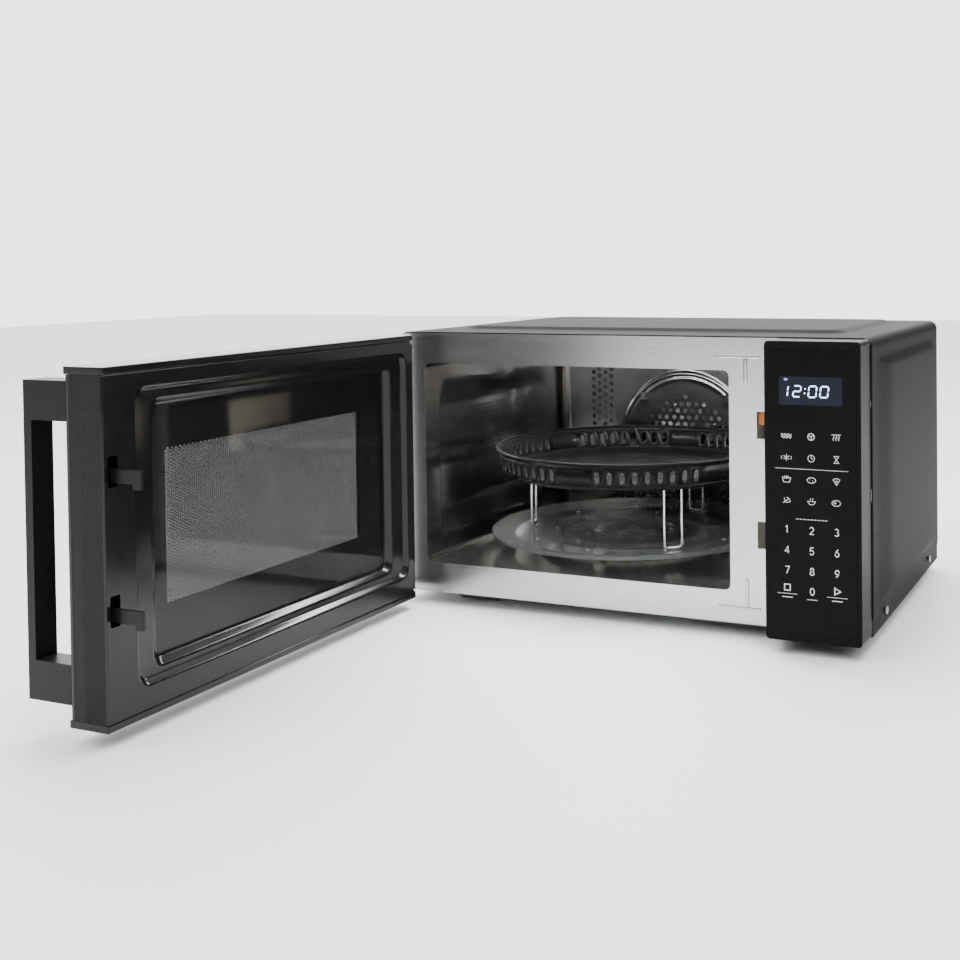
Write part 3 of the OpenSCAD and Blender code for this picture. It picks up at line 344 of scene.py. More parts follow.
# width of the softened edges, in millimetres
SOFT_EDGE = {
    "outer_case": 0.3, "front_plate": 0.25, "control_housing": 0.9, "control_fascia": 0.35,
    "door_handle": 1.2, "door_top_cap": 0.9, "door_bottom_cap": 0.9, "door_glass": 0.5,
    "door_frame": 0.4, "feet": 1.0, "rear_cover": 0.8, "back_panel": 0.3, "base_plate": 0.3,
    "latch_hooks": 0.5, "interlock_lever": 0.4, "latch_housing": 0.4, "transformer": 0.5,
    "upper_hinge": 0.4, "lower_hinge": 0.4, "display_module": 0.3,
}
for name, obj in nodes.items():
    obj.data.materials.clear()
    obj.data.materials.append(M[FINISH[name]])
    width = SOFT_EDGE.get(name, 0.15 if name not in ("wire_rack", "glass_tray", "latch_spring") else 0)
    if width:
        weld = obj.modifiers.new("join", "WELD")
        weld.merge_threshold = 0.00001
        edge = obj.modifiers.new("edge", "BEVEL")
        edge.width = width * MM
        edge.segments = 2 if width < 0.8 else 3
        edge.limit_method = "ANGLE"
        edge.angle_limit = math.radians(35)
        edge.harden_normals = False
        even = obj.modifiers.new("even", "WEIGHTED_NORMAL")
        even.weight = 90


# ---------------------------------------------------------------- mesh building
def piece(name, verts, faces, finish, body, smooth=True, sharp=32, hides=(), turned=False):
    """A mesh given in millimetres. A turned piece is described with the door closed."""
    if turned:
        verts = [swing(*v) for v in verts]
    me = bpy.data.meshes.new(name)
    me.from_pydata([(x * MM, y * MM, z * MM) for x, y, z in verts], [], faces)
    me.validate()
    me.materials.append(M[finish])
    for p in me.polygons:
        p.use_smooth = smooth
    if smooth:
        me.set_sharp_from_angle(angle=math.radians(sharp))
    o = bpy.data.objects.new(name, me)
    bpy.context.scene.collection.objects.link(o)
    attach(o, body)
    if hides:
        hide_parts(*hides)
    return o


def thick(o, inwards):
    """Gives a skin a thickness in millimetres, on its inner side."""
    s = o.modifiers.new("sheet", "SOLIDIFY")
    s.thickness = inwards * MM
    s.offset = -1.0


def round_rect(a0, a1, b0, b1, r, k=6):
    """Points round a rectangle with round corners, anticlockwise from the low left corner."""
    pts = []
    for ca, cb, start in ((a0 + r, b0 + r, 180), (a1 - r, b0 + r, 270), (a1 - r, b1 - r, 0),
                          (a0 + r, b1 - r, 90)):
        for i in range(k + 1):
            g = math.radians(start + 90 * i / k)
            pts.append((ca + r * math.cos(g), cb + r * math.sin(g)))
    return pts


def inset(box, by):
    return (box[0] + by, box[1] - by, box[2] + by, box[3] - by)


def on_end(a, b, c):
    """Stands a flat outline up, with its height c along Y."""
    return (a, c, b)


def loft(rings, close_last=True, place=lambda a, b, c: (a, b, c)):
    """Joins rings of (a, b) points at heights c into one skin."""
    verts, faces = [], []
    n = len(rings[0][0])
    for ring, c in rings:
        verts += [place(a, b, c) for a, b in ring]
    for i in range(len(rings) - 1):
        for j in range(n):
            k = (j + 1) % n
            faces.append((i * n + j, i * n + k, (i + 1) * n + k, (i + 1) * n + j))
    if close_last:
        faces.append(tuple((len(rings) - 1) * n + j for j in range(n)))
    return verts, faces


def filled(loops, place):
    """A flat face between an outer loop and any holes in it."""
    tris = tessellate_polygon([[Vector((a, b, 0)) for a, b in loop] for loop in loops])
    flat = [p for loop in loops for p in loop]
    return [place(a, b) for a, b in flat], [tuple(t) for t in tris]


def grid(us, vs, place, hole=None):
    """A sheet over the lines us and vs. hole(u0, u1, v0, v1) is True where a cell is left out."""
    verts = [place(u, v) for v in vs for u in us]
    n = len(us)
    faces = []
    for j in range(len(vs) - 1):
        for i in range(n - 1):
            if hole and hole(us[i], us[i + 1], vs[j], vs[j + 1]):
                continue
            a = j * n + i
            faces.append((a, a + 1, a + n + 1, a + n))
    return verts, faces


def steps(a, b, size):
    n = max(1, round(abs(b - a) / size))
    return [a + (b - a) * i / n for i in range(n + 1)]


def runs(start, *legs):
    """Marks from start through the end of each leg, about that leg's size apart."""
    out = [start]
    for end, size in legs:
        out += steps(out[-1], end, size)[1:]
    return out


def perforated(u0, u1, v0, v1, pitch, row, ru, rv, place, inside=lambda u, v: True, stagger=True,
               power=1.0):
    """A sheet of staggered rows of holes; a cell whose hole isn't inside stays plain."""
    verts, faces = [], []
    rows = max(1, round((v1 - v0) / row))
    tall = (v1 - v0) / rows
    for j in range(rows):
        a0, a1 = v0 + j * tall, v0 + (j + 1) * tall
        shift = pitch / 2 if (stagger and j % 2) else 0
        edges = [u0]
        u = u0 + shift if shift else u0 + pitch
        while u < u1 - pitch * 0.4:
            edges.append(u)
            u += pitch
        edges.append(u1)
        for i in range(len(edges) - 1):
            b0, b1 = edges[i], edges[i + 1]
            cu, cv = (b0 + b1) / 2, (a0 + a1) / 2
            k = len(verts)
            if b1 - b0 < pitch * 0.9 or not inside(cu, cv):
                verts += [place(b0, a0), place(b1, a0), place(b1, a1), place(b0, a1)]
                faces.append((k, k + 1, k + 2, k + 3))
                continue
            outer = [(b1, cv), (b1, a1), (cu, a1), (b0, a1), (b0, cv), (b0, a0), (cu, a0), (b1, a0)]
            for s in range(8):
                ca, sa = math.cos(math.radians(45 * s)), math.sin(math.radians(45 * s))
                ca, sa = math.copysign(abs(ca) ** power, ca), math.copysign(abs(sa) ** power, sa)
                verts.append(place(cu + ru * ca, cv + rv * sa))
            verts += [place(a, b) for a, b in outer]
            for s in range(8):
                t = (s + 1) % 8
                faces.append((k + s, k + 8 + s, k + 8 + t, k + t))
    return verts, faces


def joined(*parts):
    verts, faces = [], []
    for v, f in parts:
        base = len(verts)
        verts += v
        faces += [tuple(i + base for i in face) for face in f]
    return verts, faces


def lathe(profile, cx, cy, n=96, a0=0.0, a1=360.0):
    verts, faces = [], []
    whole_turn = abs(a1 - a0 - 360) < 1e-6
    count = n if whole_turn else n + 1
    for i in range(count):
        g = math.radians(a0 + (a1 - a0) * i / n)
        for r, z in profile:
            verts.append((cx + r * math.cos(g), cy + r * math.sin(g), z))
    m = len(profile)
    for i in range(n):
        k = (i + 1) % count
        for j in range(m - 1):
            faces.append((i * m + j, k * m + j, k * m + j + 1, i * m + j + 1))
    return verts, faces


def smooth_step(x):
    x = max(0.0, min(1.0, x))
    return x * x * (3 - 2 * x)


def from_edge(a, b, a0, a1, b0, b1, r):
    """How far a point lies inside a rectangle with corners of radius r."""
    ca, cb = (a0 + a1) / 2, (b0 + b1) / 2
    dx, dy = abs(a - ca) - ((a1 - a0) / 2 - r), abs(b - cb) - ((b1 - b0) / 2 - r)
    return r - (math.hypot(max(dx, 0), max(dy, 0)) + min(max(dx, dy), 0))


# ---------------------------------------------------------------- camera
# The camera looks at the open oven from the right, level with the top of the case.
cam_data = bpy.data.cameras.new("camera")
cam = bpy.data.objects.new("camera", cam_data)
bpy.context.scene.collection.objects.link(cam)
cam.location = (0.5247, -1.3204, 0.3649)
cam.rotation_euler = (math.radians(90 - 1.25), math.radians(0.58), math.radians(22.39))
cam_data.lens = 47.4
cam_data.sensor_width = 36
cam_data.shift_x = -0.1904
cam_data.shift_y = -0.2009
cam_data.clip_start = 0.01
bpy.context.scene.camera = cam

# ---------------------------------------------------------------- stage and light
world = bpy.data.worlds.new("studio")
bpy.context.scene.world = world
world.use_nodes = True
sky = world.node_tree
around = node_of(sky, "ShaderNodeTexCoord")
parts = node_of(sky, "ShaderNodeSeparateXYZ")
sky.links.new(around.outputs["Generated"], parts.inputs["Vector"])
# bright behind the oven and overhead, fading towards its right so that the black side stays dark
behind, above, fade = [node_of(sky, "ShaderNodeMapRange", interpolation_type="SMOOTHSTEP")
                       for i in range(3)]
for n, axis, a, b, low, high in ((behind, "Y", -0.2, 0.55, 0.4, 3.2),
                                 (above, "Z", 0.15, 0.8, 0.0, 1.6),
                                 (fade, "X", -0.1, 0.2, 1.0, 0.03)):
    sky.links.new(parts.outputs[axis], n.inputs["Value"])
    n.inputs["From Min"].default_value = a
    n.inputs["From Max"].default_value = b
    n.inputs["To Min"].default_value = low
    n.inputs["To Max"].default_value = high
total = node_of(sky, "ShaderNodeMath", operation="MULTIPLY_ADD")
sky.links.new(behind.outputs["Result"], total.inputs[0])
sky.links.new(fade.outputs["Result"], total.inputs[1])
sky.links.new(above.outputs["Result"], total.inputs[2])
sky.nodes["Background"].inputs["Color"].default_value = (1, 1, 1, 1)
sky.links.new(total.outputs[0], sky.nodes["Background"].inputs["Strength"])

fl = bpy.data.meshes.new("floor")
HALF, UNDER = 6.0, -0.0005     # half the floor's side, and its height just under the feet, in metres
fl.from_pydata([(a * HALF, b * HALF, UNDER) for a, b in ((-1, -1), (1, -1), (1, 1), (-1, 1))], [],
               [(0, 1, 2, 3)])
M["floor"] = finish_of("pale_floor", (0.88, 0.88, 0.885), 0.55, tint=0.01, scale=3, bump=0.02,
                       bump_scale=40, second=(0.9, 0.9, 0.9), second_scale=0.6)
fl.materials.append(M["floor"])
floor_obj = bpy.data.objects.new("floor", fl)
bpy.context.scene.collection.objects.link(floor_obj)


def soft_light(name, at, to, size, power, tone=(1, 1, 1)):
    data = bpy.data.lights.new(name, "AREA")
    data.shape = "RECTANGLE"
    data.size, data.size_y = size
    data.energy = power
    data.color = tone
    o = bpy.data.objects.new(name, data)
    o.location = at
    o.rotation_euler = (Vector(to) - Vector(at)).to_track_quat("-Z", "Y").to_euler()
    bpy.context.scene.collection.objects.link(o)
    return o


soft_light("front_left_softbox", (-1.8, -1.6, 1.4), (0, 0, 0.15), (1.6, 1.0), 9)
soft_light("front_right_softbox", (1.7, -1.7, 1.2), (0, 0, 0.15), (1.0, 1.0), 8)
soft_light("top_softbox", (0.1, 0.2, 2.2), (0, 0, 0.2), (2.4, 2.0), 85)
soft_light("cavity_glow", (spin_x * MM, (cav_f + 90) * MM, (cav_hi - 3) * MM),
           (spin_x * MM, (cav_f + 130) * MM, cav_lo * MM), (0.24, 0.14), 5.0)

# ---------------------------------------------------------------- cabinet
CASE_R = 9.0          # radius of the case's long top edges
PRESS_H = 3.0         # height of its pressed panels
WALL_PRESS_H = 7.9    # depth of the pressing in the cavity's left wall


def side_relief(y, z):
    """The pressed field of a side: a long ramp at the front, short ramps elsewhere, a set-back foot strip."""
    d = from_edge(y, z, y_f + 17, y_b - 16, z_low + 24, z_top - 20, 20)
    field = PRESS_H * min(smooth_step((y - y_f - 17) / 64), smooth_step(d / 9))
    strip = 0.9 * smooth_step((z_low + 19 - z) / 3)
    return field - strip


def top_relief(x, y):
    return PRESS_H * smooth_step(from_edge(x, y, x_l + 32, x_r - 42, y_f + 66, y_b - 22, 22) / 12)


# the case's section, from low on the left over the top to low on the right: x, z, outward, kind
outline = []
flat_top = z_top - CASE_R


def corner(centre, start):
    for i in range(1, 8):
        g = math.radians(start - 90 * i / 8)
        outline.append((centre + CASE_R * math.cos(g), flat_top + CASE_R * math.sin(g),
                        math.cos(g), math.sin(g), ""))


side_levels = runs(z_low, (z_low + 36, 3), (z_top - 36, 9), (flat_top, 3))
for z in side_levels:
    outline.append((x_l, z, -1, 0, "side"))
corner(x_l + CASE_R, 180)
for x in runs(x_l + CASE_R, (x_l + 60, 4), (x_r - 70, 12), (x_r - CASE_R, 4)):
    outline.append((x, z_top, 0, 1, "top"))
corner(x_r - CASE_R, 90)
for z in reversed(side_levels):
    outline.append((x_r, z, 1, 0, "side"))
depths = runs(y_f + 0.3, (y_f + 96, 4), (y_b - 40, 9), (y_b, 3))


def case_point(i, y):
    x, z, nx, nz, kind = outline[int(i)]
    h = side_relief(y, z) if kind == "side" else top_relief(x, y) if kind == "top" else 0.0
    return (x + nx * h, y, z + nz * h)


v, f = grid(list(range(len(outline))), depths, case_point)
thick(piece("case_wrap", v, f, "case", "cabinet", sharp=50, hides=["outer_case"]), SHEET)

# ---------------------------------------------------------------- cavity
def wall_relief(y, z):
    """A shallow pan with a steep front slope, a long rear slope and middling ones above and below."""
    depth = WALL_PRESS_H
    for part in ((y - cav_f - 28.5) / 8, (cav_b - 21.5 - y) / 95, (z - cav_lo - 22) / 30,
                 (cav_hi - 23 - z) / 26):
        part = max(0.0, min(1.0, part))
        depth *= 0.6 * part + 0.4 * smooth_step(part)
    return depth


def left_wall(y, z):
    return (cav_l - wall_relief(y, z), y, z)


grille = (spin_y - 62, spin_y + 20, cav_lo + 91, cav_lo + 157)
ys = runs(cav_f, (grille[0], 2), (grille[1], 6), (cav_b, 4))
zs = runs(cav_lo, (grille[2], 4), (grille[3], 6), (cav_hi, 4))


def in_grille(a0, a1, b0, b1):
    return grille[0] < (a0 + a1) / 2 < grille[1] and grille[2] < (b0 + b1) / 2 < grille[3]


v, f = joined(grid(ys, zs, left_wall, in_grille),
              perforated(*grille, 6.3, 4.7, 1.2, 1.2, left_wall, stagger=False))
piece("pressed_left_wall", v, f, "cavity", "cabinet", sharp=60, hides=["cavity_left_wall"])

fan_half = 60.0
strips = [(spin_x - 131, spin_x - 98, cav_lo + 106, cav_lo + 186),
          (spin_x + 98, spin_x + 131, cav_lo + 106, cav_lo + 186)]
low_row = (spin_x - 104, spin_x + 104, cav_lo + 15, cav_lo + 27)
fan_box = (spin_x - fan_half, spin_x + fan_half, fan_z - fan_half, fan_z + fan_half)
patches = strips + [low_row, fan_box]


def back_wall(x, z):
    r = math.hypot(x - spin_x, z - fan_z)
    ridge = 1.4 * math.exp(-((r - 79) / 1.7) ** 2) + 1.4 * math.exp(-((r - 85.5) / 1.7) ** 2)
    return (x, cav_b - ridge - 0.6 * smooth_step((88 - r) / 4), z)


def in_patch(a0, a1, b0, b1):
    a, b = (a0 + a1) / 2, (b0 + b1) / 2
    return any(p[0] < a < p[1] and p[2] < b < p[3] for p in patches)


def lines(lo, hi, cuts, size):
    marks = sorted(set([lo, hi] + [c for c in cuts if lo < c < hi]))
    out = [lo]
    for a, b in zip(marks, marks[1:]):
        out += steps(a, b, size)[1:]
    return out


xs = lines(cav_l, cav_r, [p[i] for p in patches for i in (0, 1)], 2)
zs = lines(cav_lo, cav_hi, [p[i] for p in patches for i in (2, 3)], 2)


def upright_rows(z, x):
    return back_wall(x, z)


def in_disc(x, z):
    return 9 < math.hypot(x - spin_x, z - fan_z) < 56


v, f = joined(grid(xs, zs, back_wall, in_patch),
              perforated(*fan_box, 10.0, 8.6, 2.9, 2.9, back_wall, in_disc),
              *[perforated(s[2], s[3], s[0], s[1], 9.5, 8.2, 3.0, 3.0, upright_rows) for s in strips],
              perforated(*low_row, 6.9, 6.0, 2.15, 2.15, back_wall))
piece("perforated_back_wall", v, f, "cavity_back", "cabinet", sharp=60, hides=["cavity_back_wall"])


def cove(name, a, b, r, along, lo, hi, finish="cavity"):
    """A quarter-round strip in the corner (a, b), which lies in the direction of the signs in r."""
    ra, rb = r
    pts = []
    for i in range(9):
        g = math.radians(90 * i / 8)
        pts.append((a - ra + ra * math.sin(g), b - rb + rb * math.cos(g)))
    put = {"x": lambda p, s: (s, p[0], p[1]),
           "y": lambda p, s: (p[0], s, p[1]),
           "z": lambda p, s: (p[0], p[1], s)}[along]
    verts = [put(p, s) for s in (lo, hi) for p in pts]
    faces = [(i, i + 1, 9 + i + 1, 9 + i) for i in range(8)]
    return piece(name, verts, faces, finish, "cabinet", sharp=60)


# round corners where the walls of the cavity meet
cove("cove_back_left", cav_l - 0.2, cav_b + 0.2, (-15, 15), "z", cav_lo, cav_hi, "cavity_back")
cove("cove_back_right", cav_r + 0.2, cav_b + 0.2, (15, 15), "z", cav_lo, cav_hi, "cavity_back")
for tag, z, s, fin in (("low", cav_lo, -1, "cavity_floor"), ("high", cav_hi, 1, "cavity")):
    cove("cove_left_" + tag, cav_l - 0.2, z, (-7, 7 * s), "y", cav_f, cav_b, fin)
    cove("cove_right_" + tag, cav_r + 0.2, z, (7, 7 * s), "y", cav_f, cav_b, fin)
    cove("cove_back_" + tag, cav_b + 0.2, z, (7, 7 * s), "x", cav_l, cav_r, fin)

# round-topped ribs on the front plate
rib_x = cav_r + 9
for tag, z, end in (("high", cav_hi + 13.5, cav_hi - 13), ("low", cav_lo - 16, cav_lo + 13)):
    ribs = []
    for box in ((rib_x - 22, rib_x + 22, z - 2, z + 2), (rib_x + 6, rib_x + 10, min(z, end), max(z, end))):
        rings = [(round_rect(*inset(box, by), 1.95 - by, 5), y_f - h)
                 for by, h in ((0, 0), (0.15, 0.4), (0.5, 0.7), (1.1, 0.87), (1.8, 0.92))]
        ribs.append(loft(rings, True, on_end))
    v, f = joined(*ribs)
    piece("plate_rib_" + tag, v, f, "cavity", "cabinet", sharp=70)

# ---------------------------------------------------------------- turntable and pan
LUG_H, TRAY_T = 5.0, 4.5     # height of the lugs below the tray, and thickness of its glass
z0 = tray_lo[2] + LUG_H + TRAY_T
# rings of nubs on the glass: radius of the ring, how many, size, and angle of the first
dots = []
for ring, count, size, start in ((41, 7, 3.0, -90), (57, 5, 3.0, 157), (88, 7, 2.8, -7),
                                 (117.5, 9, 2.8, -91)):
    for i in range(count):
        g = 2 * math.pi * i / count + math.radians(start)
        dots.append(lathe([(0.01, z0 + 1.5), (size * 0.5, z0 + 1.3), (size * 0.85, z0 + 0.7),
                           (size, z0 - 0.2)], spin_x + ring * math.cos(g), spin_y + ring * math.sin(g), 14))
bead = 46
dots.append(lathe([(bead - 1.4, z0 - 0.1), (bead - 0.7, z0 + 0.5), (bead + 0.7, z0 + 0.5),
                   (bead + 1.4, z0 - 0.1)], spin_x, spin_y, 96))
v, f = joined(*dots)
piece("tray_relief", v, f, "nub", "tray", sharp=60)

# the pan: its lowest and highest level and its radius
p0, p1, pr = pan_lo[2], pan_hi[2], (pan_hi[0] - pan_lo[0]) / 2
base = lathe([(0.01, p0), (54, p0), (56, p0 + 0.9), (62, p0 + 0.9), (64, p0), (98, p0), (100, p0 + 0.9),
              (106, p0 + 0.9), (108, p0), (pr - 14, p0), (pr - 10, p0 + 1.0), (pr - 7.4, p0 + 3.4),
              (pr - 6.8, p0 + 5.5)], spin_x, spin_y, 120)
rim = lathe([(pr - 3.6, p1 - 6.0), (pr - 3.2, p1 - 4.2), (pr - 1.6, p1 - 2.9), (pr - 0.1, p1 - 2.2),
             (pr, p1 - 1.1), (pr - 0.6, p1 - 0.2), (pr - 1.8, p1), (pr - 3.2, p1 - 0.4)],
            spin_x, spin_y, 120)


def pan_wall(g, z):
    r = pr - 6.8 + 3.2 * (z - p0 - 5.5) / (p1 - 6.0 - p0 - 5.5)
    return (spin_x + r * math.cos(math.radians(g)), spin_y + r * math.sin(math.radians(g)), z)


# the pan's wall: six fields of tall slots with plain stretches between them
wall = []
for c in (-1, 59, 119, 179, 239, 299):
    wall.append(perforated(c - 22.5, c + 22.5, p0 + 5.5, p1 - 6.0, 5.0, 40, 1.15, 6.6, pan_wall,
                           stagger=False, power=0.7))
    wall.append(grid(steps(c + 22.5, c + 37.5, 3), steps(p0 + 5.5, p1 - 6.0, 20), pan_wall))
v, f = joined(base, *wall, rim)
pan = piece("slotted_pan", v, f, "pan", "pan", sharp=40, hides=["crisper_pan"])
weld = pan.modifiers.new("join", "WELD")
weld.merge_threshold = 0.00005
thick(pan, 1.1)

# ---------------------------------------------------------------- door
hook_slots = []
for z in (z_low + 91, z_low + 197):
    hook_slots.append(round_rect(door_r - 13.6, door_r - 3.8, z - 11, z + 13, 1.5, 3))
face = door_back
# the recess round the window, and the window: left, right, bottom and top of the closed door
rec = (cav_l - 6, cav_r + 14, cav_lo - 5, cav_hi + 12)
win = (cav_l + 22, cav_r - 13, cav_lo + 11, cav_hi - 5)
edge_box = (hinge_x - 8 + 10.4, door_r, door_lo, door_hi)


def notched(by):
    """The moulding's outline, cut back at the two corners where the hinge leaves pass."""
    a0, a1, b0, b1 = inset(edge_box, by)
    loop = round_rect(a0, a1, b0, b1, 1.2, 6)
    n, m = hinge_x + 5.8 + by, 3.4
    return [(a0, b0 + m), (n, b0 + m), (n, b0)] + loop[7:21] + [(n, b1), (n, b1 - m), (a0, b1 - m)]


outer_loop = notched(0.6)
lip = round_rect(*inset(rec, -2.5), 13, 6)
v1, f1 = filled([outer_loop, lip] + hook_slots, lambda a, b: (a, face, b))
rings = [(notched(0.0), face - 2.0), (notched(0.05), face - 0.6), (notched(0.6), face)]
v2, f2 = loft(rings, False, on_end)
# rounded steps of the recess and of the window in it: inset, corner radius and depth
levels = [(-2.5, 13, 0.0), (-1.6, 12.2, 0.15), (-0.4, 11.5, 0.9), (1.2, 10.5, 3.2), (2.6, 10, 4.6),
          (4.4, 9.5, 5.0)]
rings = [(round_rect(*inset(rec, by), r, 6), face - d) for by, r, d in levels]
second = [(-9.5, 11, 5.0), (-8.0, 10.5, 5.2), (-6.6, 10, 6.0), (-3.4, 9, 9.6), (-2.0, 8.5, 10.6),
          (0.0, 8, 10.9)]
rings += [(round_rect(*inset(win, by), r, 6), face - d) for by, r, d in second]
v3, f3 = loft(rings, False, on_end)
slots = [loft([(s, face), (s, face - 2.0)], False, on_end) for s in hook_slots]
v, f = joined((v1, f1), (v2, f2), (v3, f3), *slots)
piece("door_moulding", v, f, "gloss", "door", sharp=28, hides=["door_inner_cover"], turned=True)

screen = (win[0] + 35, win[1] - 15, cav_lo + 48, cav_hi - 39)
sheet_y = face - 13.0


def back_of(a, b):
    return (a, sheet_y, b)


border = round_rect(*inset(win, -5), 4, 4)
v1, f1 = filled([border, round_rect(*screen, 0.01, 1)], back_of)
v2, f2 = perforated(screen[2], screen[3], screen[0], screen[1], 2.6, 2.35, 0.88, 0.88,
                    lambda b, a: back_of(a, b))
v, f = joined((v1, f1), (v2, f2))
piece("choke_screen", v, f, "choke", "door", smooth=False, hides=["door_choke_sheet"], turned=True)

# ---------------------------------------------------------------- panel marks
MARK_Y = fas_lo[1] - 0.07


def ribbon(points, width, put, closed=False):
    """A flat line of even width through points, with mitred corners."""
    pts = [Vector(p) for p in points]
    if closed:
        pts = pts + [pts[0]]
    verts, faces = [], []
    for i, p in enumerate(pts):
        before = pts[i - 1] if i else (pts[-2] if closed else None)
        after = pts[i + 1] if i < len(pts) - 1 else (pts[1] if closed else None)
        d1 = (p - before).normalized() if before is not None else None
        d2 = (after - p).normalized() if after is not None else None
        d = (d1 + d2) if d1 is not None and d2 is not None else (d1 if d1 is not None else d2)
        if d.length < 1e-6:
            d = d1
        d = d.normalized()
        n = Vector((-d.y, d.x))
        cosine = n.dot(Vector((-d1.y, d1.x))) if d1 is not None else 1.0
        w = width / 2 / max(0.5, abs(cosine))
        for s in (-1, 1):
            verts.append(put(p.x + n.x * w * s, p.y + n.y * w * s))
    for i in range(len(pts) - 1):
        faces.append((2 * i, 2 * i + 2, 2 * i + 3, 2 * i + 1))
    return verts, faces


def arc(cx, cy, rx, ry, a0, a1, n=10):
    return [(cx + rx * math.cos(math.radians(a0 + (a1 - a0) * i / n)),
             cy + ry * math.sin(math.radians(a0 + (a1 - a0) * i / n))) for i in range(n + 1)]


# the figures as strokes, in a box 1 wide and 1.5 high
FIGURES = {
    "0": [arc(0.5, 0.75, 0.42, 0.75, 90, 450, 20)],
    "1": [[(0.2, 1.2), (0.55, 1.5), (0.55, 0)]],
    "2": [arc(0.48, 1.06, 0.4, 0.44, 165, -35, 10) + [(0.08, 0), (0.95, 0)]],
    "3": [arc(0.44, 1.12, 0.36, 0.38, 150, -90, 9), arc(0.44, 0.38, 0.43, 0.38, 90, -150, 10)],
    "4": [[(0.72, 0), (0.72, 1.5), (0.04, 0.42), (0.98, 0.42)]],
    "5": [[(0.86, 1.5), (0.22, 1.5), (0.14, 0.82)] + arc(0.44, 0.46, 0.43, 0.46, 115, -150, 11)],
    "6": [arc(0.5, 0.45, 0.41, 0.45, 0, 360, 16), [(0.1, 0.52), (0.3, 1.1), (0.74, 1.5)]],
    "7": [[(0.06, 1.5), (0.95, 1.5), (0.36, 0)]],
    "8": [arc(0.5, 1.12, 0.34, 0.38, 0, 360, 14), arc(0.5, 0.38, 0.42, 0.38, 0, 360, 14)],
    "9": [arc(0.5, 1.05, 0.41, 0.45, 0, 360, 16), [(0.9, 0.98), (0.7, 0.4), (0.26, 0)]],
}
# the key signs as strokes, about 1 unit each way from the middle
SIGNS = {
    "waves": [[(x / 10 - 1.6, 0.32 * math.sin(x * 0.62) + s) for x in range(0, 33, 1)]
              for s in (-0.35, 0.35)],
    "fan": [arc(0, 0, 1, 1, 0, 360, 20)]
           + [arc(0.45 * math.cos(math.radians(a)), 0.45 * math.sin(math.radians(a)), 0.42, 0.42,
                  a, a + 180, 7) for a in (0, 120, 240)],
    "grill": [[(-1.4, 0.9), (1.4, 0.9)]]
             + [[(x, 0.6), (x + 0.2, 0.2), (x - 0.2, -0.3), (x, -0.8)] for x in (-0.8, 0, 0.8)],
    "frost": [[(math.cos(math.radians(a)), math.sin(math.radians(a))),
               (-math.cos(math.radians(a)), -math.sin(math.radians(a)))]
              for a in (30, 90, 150)] + [[(1.5, 0.5), (1.5, -0.5)], [(-1.5, 0.5), (-1.5, -0.5)]],
    "clock": [arc(0, 0, 1, 1, 0, 360, 20), [(0, 0.65), (0, 0), (0.45, -0.2)]],
    "glass": [[(-0.7, 1), (0.7, 1), (-0.7, -1), (0.7, -1), (-0.7, 1)]],
    "basket": [[(-1.3, 0.5), (-0.9, -0.9), (0.9, -0.9), (1.3, 0.5), (-1.3, 0.5)],
               [(-0.5, 1), (-0.5, 0.1)], [(0, 1.1), (0, 0.1)], [(0.5, 1), (0.5, 0.1)]],
    "potato": [arc(0, 0, 1.3, 0.8, 0, 360, 18), [(-0.5, 0.2), (-0.4, 0.1)], [(0.3, -0.2), (0.45, -0.1)]],
    "slice": [[(-1.1, 0.7), (0, -1), (1.1, 0.7)], arc(0, 0.2, 1.2, 0.75, 155, 25, 8),
              arc(0, 0.1, 0.18, 0.18, 0, 360, 8)],
    "leaf": [arc(-0.2, -0.4, 1.3, 1.3, 80, 0, 8) + arc(0.6, 0.5, 1.3, 1.3, 240, 170, 6),
             [(-1.1, -0.8), (0.5, 0.4)]],
    "bowl": [[(-1.3, 0.1), (1.3, 0.1)], arc(0, 0.1, 1.1, 1.0, 180, 360, 12), [(-0.4, 0.4), (-0.3, 1)],
             [(0.3, 0.4), (0.4, 1)]],
    "steak": [arc(-0.1, 0, 1.3, 0.85, 20, 300, 16) + [(1.1, -0.3), (1.12, 0.29)],
              arc(-0.5, 0.1, 0.3, 0.25, 0, 360, 10)],
    "square": [[(-0.8, -0.8), (0.8, -0.8), (0.8, 0.8), (-0.8, 0.8), (-0.8, -0.8)]],
    "arrow": [[(-0.7, -0.9), (0.95, 0), (-0.7, 0.9), (-0.7, -0.9)]],
}
marks = []


def stamp(strokes, cx, cz, size, width, lift=0.0):
    def put(a, b):
        return (a, MARK_Y - lift, b)

    for s in strokes:
        pts = [(cx + a * size, cz + b * size) for a, b in s]
        ring = math.dist(pts[0], pts[-1]) < 1e-6
        marks.append(ribbon(pts[:-1] if ring else pts, width, put, ring))


col = [fas_lo[0] + 16.9, fas_lo[0] + 40.5, fas_lo[0] + 64.0]
rows = [z_low + 190.7, z_low + 170.8, z_low + 150.8, z_low + 131.2]
names = [["waves", "fan", "grill"], ["frost", "clock", "glass"], ["basket", "potato", "slice"],
         ["leaf", "bowl", "steak"]]
for z, signs in zip(rows, names):
    for x, sign in zip(col, signs):
        stamp(SIGNS[sign], x, z, 3.1, 0.5)
stamp([[(col[0] - 11, z_low + 160.7), (col[2] + 11, z_low + 160.7)]], 0, 0, 1, 0.35)
for i in range(9):
    x = col[1] + (i - 4) * 3.4
    stamp([[(x - 1.2, z_low + 114.6), (x + 1.2, z_low + 114.6)]], 0, 0, 1, 0.6)
for n in range(9):
    x, z = col[n % 3], z_low + 104.6 - 18.8 * (n // 3)
    stamp(FIGURES[str(n + 1)], x - 2.1, z - 3.3, 4.3, 0.8)
bottom = z_low + 48.6
stamp(FIGURES["0"], col[1] - 2.1, bottom - 3.3, 4.3, 0.8)
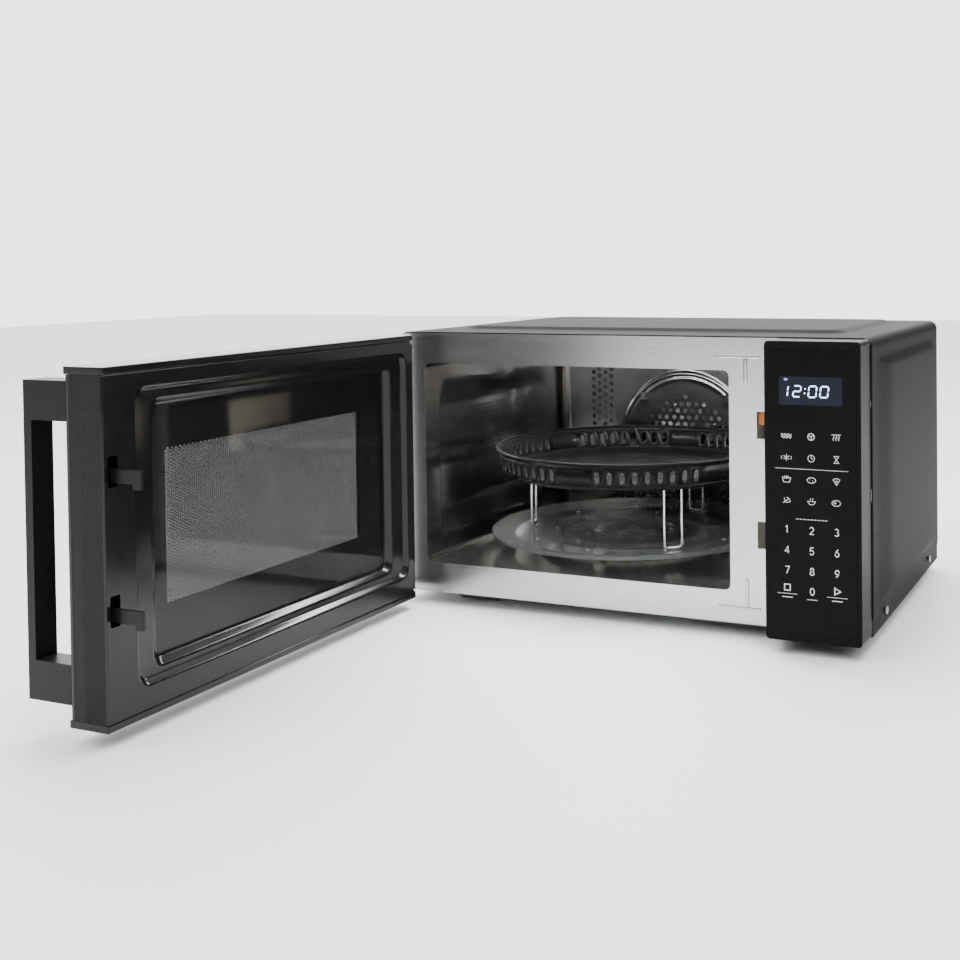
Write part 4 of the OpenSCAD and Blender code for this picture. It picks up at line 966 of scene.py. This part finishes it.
stamp([[(col[1] - 5, bottom - 7.6), (col[1] + 5, bottom - 7.6)]], 0, 0, 1, 0.5)
for x, sign in ((col[0], "square"), (col[2], "arrow")):
    stamp(SIGNS[sign], x, bottom + 2.2, 3.4, 0.85)
    stamp([[(x - 9.5, bottom - 3.6), (x + 9.5, bottom - 3.6)]], 0, 0, 1, 0.4)
    stamp([[(x - 5.0, bottom - 6.8), (x + 5.0, bottom - 6.8)]], 0, 0, 1, 0.7)
v, f = joined(*marks)
piece("panel_markings", v, f, "print", "cabinet", smooth=False)

# the display: a window in the fascia, with a faint painted glow on the unlit window, and lit figures
dx0, dx1, dz0, dz1 = dis_lo[0] - 1.0, dis_hi[0] - 1.5, dis_lo[2] - 0.5, dis_hi[2] - 0.5
v, f = filled([round_rect(dx0, dx1, dz0, dz1, 0.8, 3)], lambda a, b: (a, MARK_Y + 0.02, b))
piece("display_window_painted_glow", v, f, "display", "cabinet", smooth=False)
# the seven strokes of a lit figure, in a box 1 wide and 2 high
SEGMENTS = {"a": ((0, 2), (1, 2)), "b": ((1, 2), (1, 1)), "c": ((1, 1), (1, 0)), "d": ((0, 0), (1, 0)),
            "e": ((0, 1), (0, 0)), "f": ((0, 2), (0, 1)), "g": ((0, 1), (1, 1))}
LIT = {"0": "abcdef", "1": "bc", "2": "abged"}
lit = []


def figure(n, x, z, w, h, t):
    for s in LIT[n]:
        (a0, b0), (a1, b1) = SEGMENTS[s]
        a0, a1, b0, b1 = x + a0 * w, x + a1 * w, z + b0 * h / 2, z + b1 * h / 2
        a0, a1 = a0 + (b0 - z) * 0.12, a1 + (b1 - z) * 0.12
        d = Vector((a1 - a0, b1 - b0))
        u = d.normalized()
        n_ = Vector((-u.y, u.x)) * t / 2
        m0, m1 = Vector((a0, b0)) + u * t * 0.3, Vector((a1, b1)) - u * t * 0.3
        shape = [m0, m0 + u * t / 2 + n_, m1 - u * t / 2 + n_, m1, m1 - u * t / 2 - n_, m0 + u * t / 2 - n_]
        lit.append(([(p.x, MARK_Y - 0.05, p.y) for p in shape], [tuple(range(6))]))


dz = z_low + 227
# each lit figure with its place and width, and then the two dots of the colon
for n, x, w in (("1", 1.2, 6.5), ("2", 13.0, 7.0), ("0", 27.6, 7.2), ("0", 38.6, 7.2)):
    figure(n, dx0 + x, dz, w, 10.0, 1.25)
for b in (2.8, 6.9):
    lit.append(([(dx0 + 23.4 + 0.12 * b + a, MARK_Y - 0.05, dz + b + c)
                 for a, c in ((0, 0), (1.2, 0), (1.2, 1.2), (0, 1.2))], [(0, 1, 2, 3)]))
v, f = joined(*lit)
piece("display_figures", v, f, "digits", "cabinet", smooth=False)
v, f = joined(*[ribbon(arc(dx0 + 6.4, dz1 - 4.2, r, r, 40, 140, 6), 0.6,
                       lambda a, b: (a, MARK_Y - 0.05, b)) for r in (1.0, 2.2)])
piece("display_symbol", v, f, "violet", "cabinet", smooth=False)
